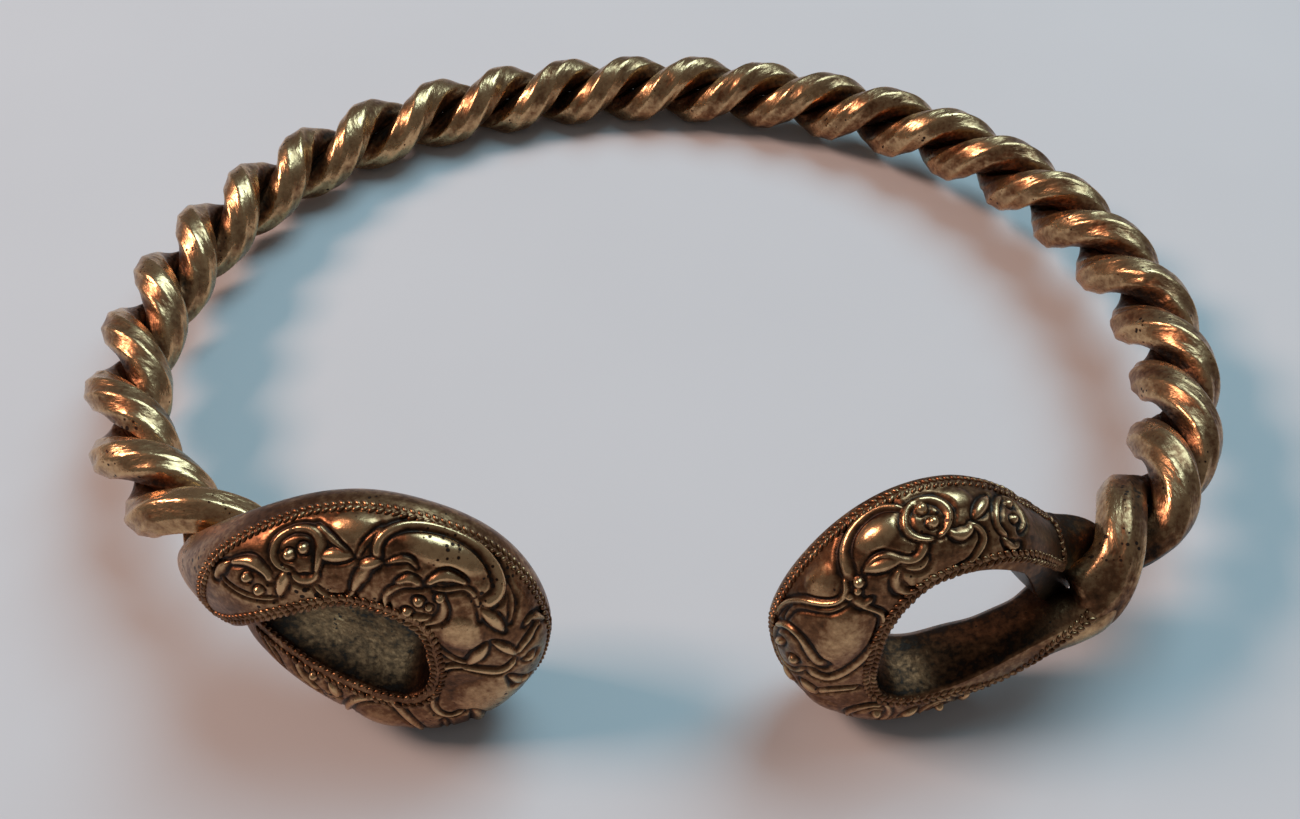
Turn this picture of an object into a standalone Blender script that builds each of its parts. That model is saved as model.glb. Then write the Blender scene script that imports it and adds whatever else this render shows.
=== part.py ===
"""Gold torc: two thick rods twisted together into an open hoop, with a cast loop terminal on each end.

Metres, +Z up. The torc lies flat, as it does when loose: it rests on the back of the hoop and on the
two terminals, and its opening faces -Y. Everything is first worked out in the hoop's own flat plane,
and then tipped by LIE_TILT, because the terminals are taller than the hoop.
"""
import math

import bmesh
import bpy
import numpy as np
from mathutils import Matrix

MM = 0.001

# The hoop's middle line: an oval, made a little uneven as by hand.
HOOP_HALF_WIDTH = 87.7 * MM
HOOP_HALF_DEPTH = 71.0 * MM
HOOP_CENTRE_Y = 4.15 * MM
HOOP_UNEVEN = ((2, 0.010, -0.031), (3, 0.027, 0.005), (4, -0.015, -0.005))
HOOP_END_SHIFTS = ((-1.0 * MM, 1.5 * MM, 0.5 * MM), (2.2 * MM, -0.3 * MM, 0.0))
SHIFT_FROM = 150 * MM
SHIFT_OVER = 32 * MM

# The twist: half turns of the pair, counted along the middle line from the back of the hoop.
TWIST_LENGTH = 200 * MM
HALF_TURNS_AT_BACK = 0.654
HALF_TURNS = 14.24
HALF_TURN_DRIFT = (0.25, -0.63)
SLACK_HALF_TURNS = -0.12
SLACK_AT = -35 * MM
SLACK_LENGTH = 25 * MM

# The rods.
ROD_OFFSET = 3.5 * MM
ROD_RADIUS = 3.3 * MM
ROD_SIDES = 8
ROD_STEP = 2.4 * MM
JOINT_GAP = 0.3 * MM

# The terminals. Stations run from the tip back to the rods, along the loop's length. The heights are
# those of the arm's middle line above and below it, and the depths are how far it stands forward.
# Rod 0 becomes the over arm, which crosses in front, and rod 1 the under arm. A rod leaves the twist
# at "leaves", bends through the arm's "crossings" (mm, in the hoop's plane), and the casting takes
# over from it "collars" further on, growing to its full section over "swells". The bar stands "front"
# forward of its middle line. How far it stands behind that line is given by "backs": pairs of mm along
# the loop from the over arm's start and mm of depth, reached over "back_swells" from each end. Its
# outer edge is set back by "rim", with a flat "strip" beside it. "neck_widths" are the arms' widths at
# their last station before the crossing.
TERMINALS = {
    "loop_terminal_left": {
        "side": 1,
        "centre": (-39.7 * MM, -58.0 * MM, 1.3 * MM),
        "turn": 5.5,
        "rise": -2.8,
        "lean": 5.5,
        "reach": 17.6 * MM,
        "tip_width": 15.6 * MM,
        "end_widths": (11.0 * MM, 5.6 * MM),
        "neck_widths": (11.1 * MM, 7.9 * MM),
        "arm_widths": (11.2 * MM, 10.2 * MM),
        "front": 7.9 * MM,
        "backs": ((0, 5.6), (40, 6.5), (80, 7.4), (115, 8.2)),
        "rim": 1.0 * MM,
        "strip": 1.2 * MM,
        "stations": (14.5 * MM, 7.6 * MM, -1.5 * MM, -11.5 * MM),
        "over_height": (8.9 * MM, 13.5 * MM, 14.2 * MM, 11.0 * MM),
        "over_depth": (1.0 * MM, 1.0 * MM, 0.4 * MM, 1.0 * MM),
        "under_height": (10.7 * MM, 15.4 * MM, 13.0 * MM, 8.2 * MM),
        "under_depth": (0.0 * MM, 0.6 * MM, 0.5 * MM, -2.4 * MM),
        "crossings": (((-59.6, -52.6, 4.9),), ((-56.3, -49.0, -5.0),)),
        "leaves": (-185.0 * MM, -188.0 * MM),
        "collars": (-1.5 * MM, 2.0 * MM),
        "swells": (6.0 * MM, 6.0 * MM),
        "back_swells": (22.0 * MM, 22.0 * MM),
    },
    "loop_terminal_right": {
        "side": -1,
        "centre": (37.9 * MM, -62.3 * MM, 0.2 * MM),
        "turn": 6.0,
        "rise": 0.8,
        "lean": 4.0,
        "reach": 15.7 * MM,
        "tip_width": 13.3 * MM,
        "end_widths": (7.6 * MM, 9.4 * MM),
        "neck_widths": (8.2 * MM, 6.0 * MM),
        "arm_widths": (8.8 * MM, 8.8 * MM),
        "front": 6.1 * MM,
        "backs": (
            (0, 10.5), (3.5, 12.0), (6, 10.4), (9, 6.0), (12, 4.5), (16, 4.0), (20, 4.6), (26, 5.4), (32, 7.2), (38, 8.2),
            (46, 7.4),
            (60, 5.5), (80, 5.2), (105, 5.0),
        ),
        "rim": -2.7 * MM,
        "strip": 0.3 * MM,
        "stations": (13.0 * MM, 7.0 * MM, -1.2 * MM, -9.9 * MM),
        "over_height": (11.8 * MM, 15.8 * MM, 15.2 * MM, 11.2 * MM),
        "over_depth": (-0.2 * MM, 0.5 * MM, 0.0 * MM, 0.0 * MM),
        "under_height": (8.6 * MM, 15.2 * MM, 16.2 * MM, 12.0 * MM),
        "under_depth": (0.9 * MM, 0.5 * MM, -0.7 * MM, -1.7 * MM),
        "crossings": (
            ((64.6, -56.3, 2.2), (63.3, -59.0, -0.8), (60.8, -60.9, -4.0), (54.6, -61.7, -7.3)),
            ((54.5, -54.3, 1.3),),
        ),
        "leaves": (185.0 * MM, 190.0 * MM),
        "collars": (13.0 * MM, -5.0 * MM),
        "swells": (20.0 * MM, 8.0 * MM),
        "back_swells": (3.5 * MM, 22.0 * MM),
    },
}
STATION_WIDTHS = (0.6, 0.25, 0.0)
DEPTH_SWELL = 22.0 * MM
LEAD = 12.0 * MM
LEAD_STEPS = 4
BAR_STEP = 2.3 * MM
FACE_FULLNESS = 0.80
BACK_FULLNESS = 1.0
FACE_STEPS = 6
WALL_STEPS = 3
BACK_STEPS = 4

# How it lies: tipped so that the back of the hoop and both terminals touch the ground.
LIE_TILT = 5.7
LIE_ROLL = 0.6
LIFT = 13.97 * MM
MIDDLE_SHIFT = (-0.05 * MM, -5.93 * MM)

GOLD = (0.33, 0.205, 0.075, 1.0)
GOLD_CAST = (0.27, 0.17, 0.065, 1.0)


def clear_scene():
    for thing in list(bpy.data.objects):
        bpy.data.objects.remove(thing, do_unlink=True)


def make_collection(name):
    group = bpy.data.collections.new(name)
    bpy.context.scene.collection.children.link(group)
    return group


def gold_material(name, colour, roughness):
    material = bpy.data.materials.new(name)
    material.use_nodes = True
    shader = material.node_tree.nodes["Principled BSDF"]
    shader.inputs["Base Color"].default_value = colour
    shader.inputs["Metallic"].default_value = 1.0
    shader.inputs["Roughness"].default_value = roughness
    return material


def unit(vectors):
    return vectors / np.linalg.norm(vectors, axis=-1, keepdims=True)


def hoop_table():
    """Points of the hoop's middle line, its outward directions, and the length from the back."""
    angle = np.radians(np.linspace(-178.0, 178.0, 3561))
    swell = np.ones_like(angle)
    for order, cosine, sine in HOOP_UNEVEN:
        swell += cosine * np.cos(order * angle) + sine * np.sin(order * angle)
    points = np.zeros((len(angle), 3))
    points[:, 0] = HOOP_HALF_WIDTH * np.sin(angle) * swell
    points[:, 1] = HOOP_CENTRE_Y + HOOP_HALF_DEPTH * np.cos(angle) * swell
    along = np.gradient(points, axis=0)
    steps = np.linalg.norm(along, axis=1)
    length = np.concatenate([[0.0], np.cumsum((steps[1:] + steps[:-1]) / 2)])
    length -= np.interp(0.0, angle, length)
    outward = np.cross((0.0, 0.0, 1.0), unit(along))
    for sign, shift in zip((-1.0, 1.0), HOOP_END_SHIFTS):
        share = np.clip((sign * length - SHIFT_FROM) / SHIFT_OVER, 0.0, 1.0)
        points += (share * share * (3.0 - 2.0 * share))[:, None] * np.array(shift)
    return length, points, outward


HOOP_LENGTH, HOOP_POINTS, HOOP_OUTWARD = hoop_table()


def on_hoop(length):
    point = np.stack([np.interp(length, HOOP_LENGTH, HOOP_POINTS[:, k]) for k in range(3)], -1)
    outward = np.stack([np.interp(length, HOOP_LENGTH, HOOP_OUTWARD[:, k]) for k in range(3)], -1)
    return point, outward


def half_turns(length):
    share = length / TWIST_LENGTH
    slack = SLACK_HALF_TURNS * np.exp(-((length - SLACK_AT) / SLACK_LENGTH) ** 2)
    drift = HALF_TURN_DRIFT[0] * share**2 + HALF_TURN_DRIFT[1] * share**3
    return HALF_TURNS_AT_BACK + HALF_TURNS * share + drift + slack


def strand(length, number):
    """Middle line of one rod, and the direction from the hoop's middle line out to it."""
    length = np.asarray(length, dtype=float)
    point, outward = on_hoop(length)
    angle = math.pi * (number - half_turns(length))[..., None]
    away = np.cos(angle) * outward + np.sin(angle) * np.array((0.0, 0.0, 1.0))
    return point + ROD_OFFSET * away, away


def smooth_line(knots, values, count):
    """Natural cubic spline through the values at the knots, read at count even steps."""
    knots = np.asarray(knots)
    values = np.asarray(values)
    gaps = np.diff(knots)
    size = len(knots)
    matrix = np.eye(size)
    right = np.zeros_like(values)
    for k in range(1, size - 1):
        matrix[k, k - 1] = gaps[k - 1]
        matrix[k, k] = 2.0 * (gaps[k - 1] + gaps[k])
        matrix[k, k + 1] = gaps[k]
        right[k] = 6.0 * ((values[k + 1] - values[k]) / gaps[k] - (values[k] - values[k - 1]) / gaps[k - 1])
    bend = np.linalg.solve(matrix, right)
    place = np.linspace(knots[0], knots[-1], count)
    cell = np.clip(np.searchsorted(knots, place, side="right") - 1, 0, size - 2)
    gap = gaps[cell][:, None]
    before = (place - knots[cell])[:, None]
    after = gap - before
    curve = (bend[cell] * after**3 + bend[cell + 1] * before**3) / (6.0 * gap)
    line = (values[cell] / gap - bend[cell] * gap / 6.0) * after
    line = line + (values[cell + 1] / gap - bend[cell + 1] * gap / 6.0) * before
    return curve + line


def terminal_axes(plan):
    """Directions of a terminal: along it to the tip, up across it, and forward out of its hole."""
    turn = math.radians(plan["turn"])
    rise = math.radians(plan["rise"])
    lean = math.radians(plan["lean"])
    side = plan["side"]
    flat = np.array((side * math.cos(turn), -math.sin(turn), 0.0))
    front = np.array((-side * math.sin(turn), -math.cos(turn), 0.0))
    up = np.array((0.0, 0.0, 1.0))
    to_tip = math.cos(rise) * flat + math.sin(rise) * up
    across = -math.sin(rise) * flat + math.cos(rise) * up
    forward = math.cos(lean) * front + math.sin(lean) * across
    upward = -math.sin(lean) * front + math.cos(lean) * across
    return to_tip, upward, forward


def arm_knots(plan, rod):
    """Knots of one arm, from its lead along the rod to just short of the tip, and their widths."""
    to_tip, upward, forward = terminal_axes(plan)
    name = ("over", "under")[rod]
    arm_width = plan["arm_widths"][rod]
    sign = plan["side"] * (1 - 2 * rod)
    lead = np.linspace(LEAD, 0.0, LEAD_STEPS) * plan["side"]
    points = list(strand(plan["leaves"][rod] + lead, rod)[0]) + list(np.array(plan["crossings"][rod]) * MM)
    widths = [plan["end_widths"][rod]] * len(points)
    for k in (3, 2, 1, 0):
        place = np.array(plan["centre"]) + plan["stations"][k] * to_tip
        height = sign * plan[name + "_height"][k]
        points.append(place + height * upward + plan[name + "_depth"][k] * forward)
        if k == 3:
            widths.append(plan["neck_widths"][rod])
            continue
        share = STATION_WIDTHS[k]
        widths.append(share * plan["tip_width"] + (1.0 - share) * arm_width)
    return points, widths


def terminal_curve(plan):
    """Fine middle line of a terminal with its leads: points, lengths, widths, and the two collars."""
    to_tip, upward, forward = terminal_axes(plan)
    over, over_widths = arm_knots(plan, 0)
    under, under_widths = arm_knots(plan, 1)
    tip_point = np.array(plan["centre"]) + plan["reach"] * to_tip + 0.8 * MM * forward
    points = np.array(over + [tip_point] + under[::-1])
    widths = np.array(over_widths + [plan["tip_width"]] + under_widths[::-1])
    steps = np.linalg.norm(np.diff(points, axis=0), axis=1) ** 0.7
    knots = np.concatenate([[0.0], np.cumsum(steps)])
    count = 1201
    places = np.linspace(knots[0], knots[-1], count)
    line = smooth_line(knots, points, count)
    length = np.concatenate([[0.0], np.cumsum(np.linalg.norm(np.diff(line, axis=0), axis=1))])
    width = np.interp(places, knots, widths)
    first = np.interp(knots[LEAD_STEPS - 1], places, length) + plan["collars"][0]
    last = np.interp(knots[-LEAD_STEPS], places, length) - plan["collars"][1]
    return line, length, width, first, last


def read_line(length, line, where):
    return np.stack([np.interp(where, length, line[:, k]) for k in range(3)], -1)


def terminal_line(plan):
    """The bent bar that makes a terminal: middle line, directions, widths and how full it has grown."""
    line, length, width, first, last = terminal_curve(plan)
    count = int(round((last - first) / BAR_STEP)) + 1
    even = np.linspace(first + JOINT_GAP, last - JOINT_GAP, count)
    along = unit(np.gradient(line, axis=0))
    middle = (first + last) / 2.0
    ahead = carried_direction(along, terminal_axes(plan)[2], int(np.searchsorted(length, middle)))
    full = np.minimum((even - first) / plan["swells"][0], (last - even) / plan["swells"][1])
    full = np.sin(np.clip(full, 0.0, 1.0) * math.pi / 2.0)
    deep = np.clip(np.minimum(even - first, last - even) / DEPTH_SWELL, 0.0, 1.0)
    deep = np.sin(deep * math.pi / 2.0)
    where, depth = np.array(plan["backs"]).T * MM
    depth = smooth_line(where, depth[:, None], 300)[:, 0]
    back = np.interp(even - first, np.linspace(0.0, where[-1], 300), depth)
    thick = np.minimum((even - first) / plan["back_swells"][0], (last - even) / plan["back_swells"][1])
    thick = np.sin(np.clip(thick, 0.0, 1.0) * math.pi / 2.0)
    back = ROD_RADIUS + thick * (back - ROD_RADIUS)
    points = read_line(length, line, even)
    along = unit(read_line(length, along, even))
    ahead = unit(read_line(length, ahead, even))
    outward = np.cross(ahead, along)
    return points, outward, ahead, np.interp(even, length, width), back, full, deep


def carried_direction(along, start, middle):
    """A direction carried from the middle of a line to both of its ends without twisting."""
    carried = np.zeros_like(along)
    carried[middle] = unit(start - along[middle] * (start @ along[middle]))
    for step in (1, -1):
        k = middle
        while 0 <= k + step < len(along):
            carried[k + step] = unit(carried[k] - along[k + step] * (carried[k] @ along[k + step]))
            k += step
    return carried


def terminal_section(plan, width, back, deep):
    """Outline of the bar: the plain wall of the hole, the plain back, and the full rounded face."""
    front = ROD_RADIUS + deep * (plan["front"] - ROD_RADIUS)
    strip = plan["strip"]
    rim = deep * plan["rim"]
    outline = []
    for k in range(WALL_STEPS):
        outline.append((-0.5 * width, front - 0.95 * (front + back) * k / WALL_STEPS))
    outline.append((-0.5 * width, -0.93 * back))
    for k in range(BACK_STEPS):
        angle = math.pi / 2 * k / BACK_STEPS
        across = -0.43 + 0.93 * math.sin(angle) ** BACK_FULLNESS
        ahead = rim - strip - (back + rim - strip) * math.cos(angle) ** BACK_FULLNESS
        outline.append((across * width, ahead))
    outline.append((0.5 * width, rim - strip))
    for k in range(FACE_STEPS):
        angle = math.pi / 2 * k / FACE_STEPS
        across = -0.5 + math.cos(angle) ** FACE_FULLNESS
        ahead = rim + (front - rim) * math.sin(angle) ** FACE_FULLNESS
        outline.append((across * width, ahead))
    return np.array(outline)


def skin(name, rings, group, material):
    """One closed solid through the rings, capped at both ends."""
    mesh = bpy.data.meshes.new(name)
    shape = bmesh.new()
    rows = [[shape.verts.new(point) for point in ring] for ring in rings]
    size = len(rows[0])
    for first, second in zip(rows, rows[1:]):
        for k in range(size):
            shape.faces.new((first[k], first[(k + 1) % size], second[(k + 1) % size], second[k]))
    shape.faces.new(rows[0][::-1])
    shape.faces.new(rows[-1])
    bmesh.ops.recalc_face_normals(shape, faces=shape.faces)
    shape.to_mesh(mesh)
    shape.free()
    mesh.shade_smooth()
    mesh.set_sharp_from_angle(angle=math.radians(35.0))
    mesh.materials.append(material)
    thing = bpy.data.objects.new(name, mesh)
    group.objects.link(thing)
    return thing


def laid_down(points):
    """From the hoop's plane to the ground."""
    lay = Matrix.Translation((MIDDLE_SHIFT[0], MIDDLE_SHIFT[1], LIFT))
    lay = lay @ Matrix.Rotation(math.radians(-LIE_ROLL), 4, "Y")
    lay = lay @ Matrix.Rotation(math.radians(-LIE_TILT), 4, "X")
    matrix = np.array(lay)
    return points @ matrix[:3, :3].T + matrix[:3, 3]


def rod_line(number):
    """Fine middle line of one rod from collar to collar, and a direction across it all along."""
    left = TERMINALS["loop_terminal_left"]
    right = TERMINALS["loop_terminal_right"]
    where = np.arange(left["leaves"][number] + LEAD, right["leaves"][number] - LEAD, 0.2 * MM)
    middle, away = strand(where, number)
    pieces = [middle]
    for plan in (left, right):
        line, length, width, first, last = terminal_curve(plan)
        if number == 1:
            line = line[::-1]
            length = length[-1] - length[::-1]
            first = length[-1] - last
        lead = read_line(length, line, np.arange(0.2 * MM, first, 0.2 * MM))
        pieces = [lead[::-1]] + pieces if plan is left else pieces + [lead]
    line = np.concatenate(pieces)
    along = unit(np.gradient(line, axis=0))
    start = len(pieces[0])
    end = start + len(middle)
    across = np.zeros_like(line)
    across[start:end] = away
    across[:start] = carried_direction(along[: start + 1], away[0], start)[:start]
    across[end:] = carried_direction(along[end - 1 :], away[-1], 0)[1:]
    return line, along, unit(across - along * np.sum(across * along, axis=1, keepdims=True))


def build_rod(number, name, radius, group, material):
    """One twisted rod, between the two terminals."""
    line, along, across = rod_line(number)
    length = np.concatenate([[0.0], np.cumsum(np.linalg.norm(np.diff(line, axis=0), axis=1))])
    even = np.linspace(0.0, length[-1], int(round(length[-1] / ROD_STEP)) + 1)
    points = read_line(length, line, even)
    along = unit(read_line(length, along, even))
    across = unit(read_line(length, across, even))
    beside = np.cross(along, across)
    rings = []
    for k in range(len(even)):
        ring = []
        for corner in range(ROD_SIDES):
            angle = 2.0 * math.pi * (corner + 0.5) / ROD_SIDES
            ring.append(points[k] + radius * (math.cos(angle) * across[k] + math.sin(angle) * beside[k]))
        rings.append(laid_down(np.array(ring)))
    return skin(name, rings, group, material)


def build_terminal(name, group, material):
    """One cast loop: a bar that leaves one rod, runs round the loop and comes back to the other."""
    plan = TERMINALS[name]
    line, outward, ahead, width, back, full, deep = terminal_line(plan)
    rings = []
    for k in range(len(line)):
        outline = terminal_section(plan, width[k], back[k], deep[k])
        circle = unit(outline) * ROD_RADIUS
        flat = outline * full[k] + circle * (1.0 - full[k])
        rings.append(laid_down(line[k] + flat[:, :1] * outward[k] + flat[:, 1:] * ahead[k]))
    return skin(name, rings, group, material)


def cut_away(things, cutter, label):
    for thing in things:
        cut = thing.modifiers.new(label, "BOOLEAN")
        cut.operation = "DIFFERENCE"
        cut.solver = "EXACT"
        cut.use_self = True
        cut.object = cutter


def hide_cutter(thing):
    thing.hide_render = True
    thing.display_type = "WIRE"


def rest_on_ground(things, group):
    """Small flats where the torc touches the ground, cut by one block below it."""
    bpy.ops.mesh.primitive_cube_add(size=1.0, location=(0.0, 0.0, -0.05))
    ground = bpy.context.object
    ground.name = "ground_cutter"
    ground.scale = (0.4, 0.4, 0.1)
    hide_cutter(ground)
    for other in list(ground.users_collection):
        other.objects.unlink(ground)
    group.objects.link(ground)
    cut_away(things, ground, "flat_underside")


def build_torc():
    clear_scene()
    parts = make_collection("gold_torc")
    cutters = make_collection("cutters")
    hammered = gold_material("hammered_gold", GOLD, 0.32)
    cast = gold_material("cast_gold", GOLD_CAST, 0.38)
    terminals = [build_terminal(name, parts, cast) for name in TERMINALS]
    rods = []
    for number in (0, 1):
        rods.append(build_rod(number, "twisted_rod_%d" % (number + 1), ROD_RADIUS, parts, hammered))
        label = "rod_clearance_%d" % (number + 1)
        room = ROD_RADIUS + JOINT_GAP / math.cos(math.pi / ROD_SIDES)
        socket = build_rod(number, label, room, cutters, hammered)
        hide_cutter(socket)
        cut_away(terminals, socket, label)
    rest_on_ground(rods + terminals, cutters)


build_torc()
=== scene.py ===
"""Finish of the gold torc: hammered rods, cast loops with scrollwork in relief, and beaded cords.

Metres, +Z up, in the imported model's frame. The bare forms repeat the driving sizes of the plain solids,
worked out in the hoop's own flat plane and then laid down, and the finish stands on them: the hammered
flats of the rods, the raised scrollwork, buds and pellets of the two loops, and the beaded cords.
"""
import math

import bmesh
import bpy
import numpy as np
from bpy.props import FloatProperty, FloatVectorProperty, PointerProperty
from mathutils import Euler, Matrix, Vector


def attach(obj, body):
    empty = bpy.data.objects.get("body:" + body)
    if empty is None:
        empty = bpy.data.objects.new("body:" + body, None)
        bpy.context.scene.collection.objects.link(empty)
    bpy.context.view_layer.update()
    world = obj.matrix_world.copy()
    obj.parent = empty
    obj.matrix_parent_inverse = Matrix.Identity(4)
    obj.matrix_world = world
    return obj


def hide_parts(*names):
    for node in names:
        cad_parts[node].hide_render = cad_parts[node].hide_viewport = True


bl_info = {
    "name": "Gold Torc",
    "version": (1, 0, 0),
    "blender": (4, 5, 0),
    "location": "View3D > Sidebar > Torc",
    "description": "Twisted gold neck ring with cast loop terminals",
    "category": "Add Mesh",
}

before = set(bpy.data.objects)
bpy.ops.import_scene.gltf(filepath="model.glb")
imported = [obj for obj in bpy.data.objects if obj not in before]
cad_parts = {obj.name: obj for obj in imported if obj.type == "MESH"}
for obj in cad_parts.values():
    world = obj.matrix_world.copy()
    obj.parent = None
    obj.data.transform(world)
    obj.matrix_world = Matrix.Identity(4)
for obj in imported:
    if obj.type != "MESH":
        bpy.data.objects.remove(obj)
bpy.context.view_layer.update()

MM = 0.001


def mm(*values):
    """Millimetres as metres."""
    return tuple(value * MM for value in values)


def linear(colour):
    """An sRGB hex colour as linear red, green and blue."""
    parts = [int(colour[k : k + 2], 16) / 255.0 for k in (1, 3, 5)]
    return [part / 12.92 if part <= 0.04045 else ((part + 0.055) / 1.055) ** 2.4 for part in parts]


# ---------------------------------------------------------------------------------------------------
# The bare form: the hoop, the twist and the two loops, as in the plain solids.

# The hoop is an oval drawn round to either side of its back. Each row of HOOP_UNEVEN makes it a little
# uneven: how many waves go round, then the shares of their cosine and sine. Both ends are shifted.
HOOP_HALF_WIDTH = 87.7 * MM
HOOP_HALF_DEPTH = 71.0 * MM
HOOP_CENTRE_Y = 4.15 * MM
HOOP_HALF_ANGLE = 178.0
HOOP_STEPS = 3561
HOOP_UNEVEN = ((2, 0.010, -0.031), (3, 0.027, 0.005), (4, -0.015, -0.005))
HOOP_END_SHIFTS = ((-1.0 * MM, 1.5 * MM, 0.5 * MM), (2.2 * MM, -0.3 * MM, 0.0))
SHIFT_FROM = 150 * MM
SHIFT_OVER = 32 * MM

# The twist, counted in half turns from the back of the hoop. It tightens towards the ends.
TWIST_LENGTH = 200 * MM
HALF_TURNS_AT_BACK = 0.654
HALF_TURNS = 14.24
HALF_TURN_DRIFT = (0.25, -0.63)
SLACK_HALF_TURNS = -0.12
SLACK_AT = -35 * MM
SLACK_LENGTH = 25 * MM

ROD_OFFSET = 3.5 * MM
SOLID_RADIUS = 3.3 * MM

# Each loop has a middle, turned, raised and leaned by degrees, and two arms that meet at its tip. The
# arms are given at four stations, as heights over and under the middle line and depths in front of it.
# Crossings lead each arm to them from its rod. Leaves are where it leaves the rod, by the length from the
# back of the hoop, and collars how far beyond that the bar starts. It has its full size after the swells.
# Backs are how thick the bar is behind its middle line, by millimetres along the loop.
LOOPS = {
    "left": {
        "side": 1,
        "centre": mm(-39.7, -58.0, 1.3),
        "turn": 5.5,
        "rise": -2.8,
        "lean": 5.5,
        "reach": 17.6 * MM,
        "tip_width": 15.6 * MM,
        "end_widths": mm(11.0, 5.6),
        "neck_widths": mm(11.1, 7.9),
        "arm_widths": mm(11.2, 10.2),
        "front": 7.9 * MM,
        "backs": ((0, 5.6), (40, 6.5), (80, 7.4), (115, 8.2)),
        "rim": 1.0 * MM,
        "strip": 1.2 * MM,
        "stations": mm(14.5, 7.6, -1.5, -11.5),
        "over_height": mm(8.9, 13.5, 14.2, 11.0),
        "over_depth": mm(1.0, 1.0, 0.4, 1.0),
        "under_height": mm(10.7, 15.4, 13.0, 8.2),
        "under_depth": mm(0.0, 0.6, 0.5, -2.4),
        "crossings": (((-59.6, -52.6, 4.9),), ((-56.3, -49.0, -5.0),)),
        "leaves": mm(-185.0, -188.0),
        "collars": mm(-1.5, 2.0),
        "swells": mm(6.0, 6.0),
        "back_swells": mm(22.0, 22.0),
    },
    "right": {
        "side": -1,
        "centre": mm(37.9, -62.3, 0.2),
        "turn": 6.0,
        "rise": 0.8,
        "lean": 4.0,
        "reach": 15.7 * MM,
        "tip_width": 13.3 * MM,
        "end_widths": mm(7.6, 9.4),
        "neck_widths": mm(8.2, 6.0),
        "arm_widths": mm(8.8, 8.8),
        "front": 6.1 * MM,
        "backs": (
            (0, 10.5), (3.5, 12.0), (6, 10.4), (9, 6.0), (12, 4.5), (16, 4.0), (20, 4.6),
            (26, 5.4), (32, 7.2), (38, 8.2), (46, 7.4), (60, 5.5), (80, 5.2), (105, 5.0),
        ),
        "rim": -2.7 * MM,
        "strip": 0.3 * MM,
        "stations": mm(13.0, 7.0, -1.2, -9.9),
        "over_height": mm(11.8, 15.8, 15.2, 11.2),
        "over_depth": mm(-0.2, 0.5, 0.0, 0.0),
        "under_height": mm(8.6, 15.2, 16.2, 12.0),
        "under_depth": mm(0.9, 0.5, -0.7, -1.7),
        "crossings": (
            ((64.6, -56.3, 2.2), (63.3, -59.0, -0.8), (60.8, -60.9, -4.0), (54.6, -61.7, -7.3)),
            ((54.5, -54.3, 1.3),),
        ),
        "leaves": mm(185.0, 190.0),
        "collars": mm(13.0, -5.0),
        "swells": mm(20.0, 8.0),
        "back_swells": mm(3.5, 22.0),
    },
}
STATION_WIDTHS = (0.6, 0.25, 0.0)
TIP_FORWARD = 0.8 * MM
DEPTH_SWELL = 22.0 * MM
LEAD = 12.0 * MM
LEAD_STEPS = 4
LOOP_LINE_STEPS = 1201
KNOT_POWER = 0.7
FACE_FULLNESS = 0.80

# How the torc lies on the ground: tilted and rolled by degrees, then lifted and moved to the middle.
LIE_TILT = 5.7
LIE_ROLL = 0.6
LIFT = 13.97 * MM
MIDDLE_SHIFT = (-0.05 * MM, -5.93 * MM)

# How finely the finished surfaces are stepped.
LINE_STEP = 0.2 * MM
ROD_STEP = 0.42 * MM
ROD_AROUND = 60
LOOP_STEP = 0.21 * MM
FACE_COLUMNS = 86
WALL_COLUMNS = 14
BACK_COLUMNS = 26
STRIP_COLUMNS = 5


def unit(vectors):
    """The same directions with a length of one."""
    return vectors / np.linalg.norm(vectors, axis=-1, keepdims=True)


def smoothstep(low, high, value):
    """A soft step from 0 at the low value to 1 at the high one."""
    share = np.clip((value - low) / (high - low), 0.0, 1.0)
    return share * share * (3.0 - 2.0 * share)


def hoop_table():
    """Points of the hoop's middle line, its outward directions, and the length from the back."""
    angle = np.radians(np.linspace(-HOOP_HALF_ANGLE, HOOP_HALF_ANGLE, HOOP_STEPS))
    swell = np.ones_like(angle)
    for order, cosine, sine in HOOP_UNEVEN:
        swell += cosine * np.cos(order * angle) + sine * np.sin(order * angle)
    points = np.zeros((len(angle), 3))
    points[:, 0] = HOOP_HALF_WIDTH * np.sin(angle) * swell
    points[:, 1] = HOOP_CENTRE_Y + HOOP_HALF_DEPTH * np.cos(angle) * swell
    along = np.gradient(points, axis=0)
    steps = np.linalg.norm(along, axis=1)
    length = np.concatenate([[0.0], np.cumsum((steps[1:] + steps[:-1]) / 2)])
    length -= np.interp(0.0, angle, length)
    outward = np.cross((0.0, 0.0, 1.0), unit(along))
    for sign, shift in zip((-1.0, 1.0), HOOP_END_SHIFTS):
        share = smoothstep(SHIFT_FROM, SHIFT_FROM + SHIFT_OVER, sign * length)
        points += share[:, None] * np.array(shift)
    return length, points, outward


HOOP_LENGTH, HOOP_POINTS, HOOP_OUTWARD = hoop_table()


def line_lengths(line):
    """How far along a line each of its points is."""
    return np.concatenate([[0.0], np.cumsum(np.linalg.norm(np.diff(line, axis=0), axis=1))])


def read_line(length, line, where):
    """Points of a line, read at lengths along it."""
    return np.stack([np.interp(where, length, line[:, k]) for k in range(line.shape[1])], -1)


def half_turns(length):
    """How many half turns the twist has made at lengths from the back of the hoop."""
    share = length / TWIST_LENGTH
    slack = SLACK_HALF_TURNS * np.exp(-((length - SLACK_AT) / SLACK_LENGTH) ** 2)
    drift = HALF_TURN_DRIFT[0] * share**2 + HALF_TURN_DRIFT[1] * share**3
    return HALF_TURNS_AT_BACK + HALF_TURNS * share + drift + slack


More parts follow.
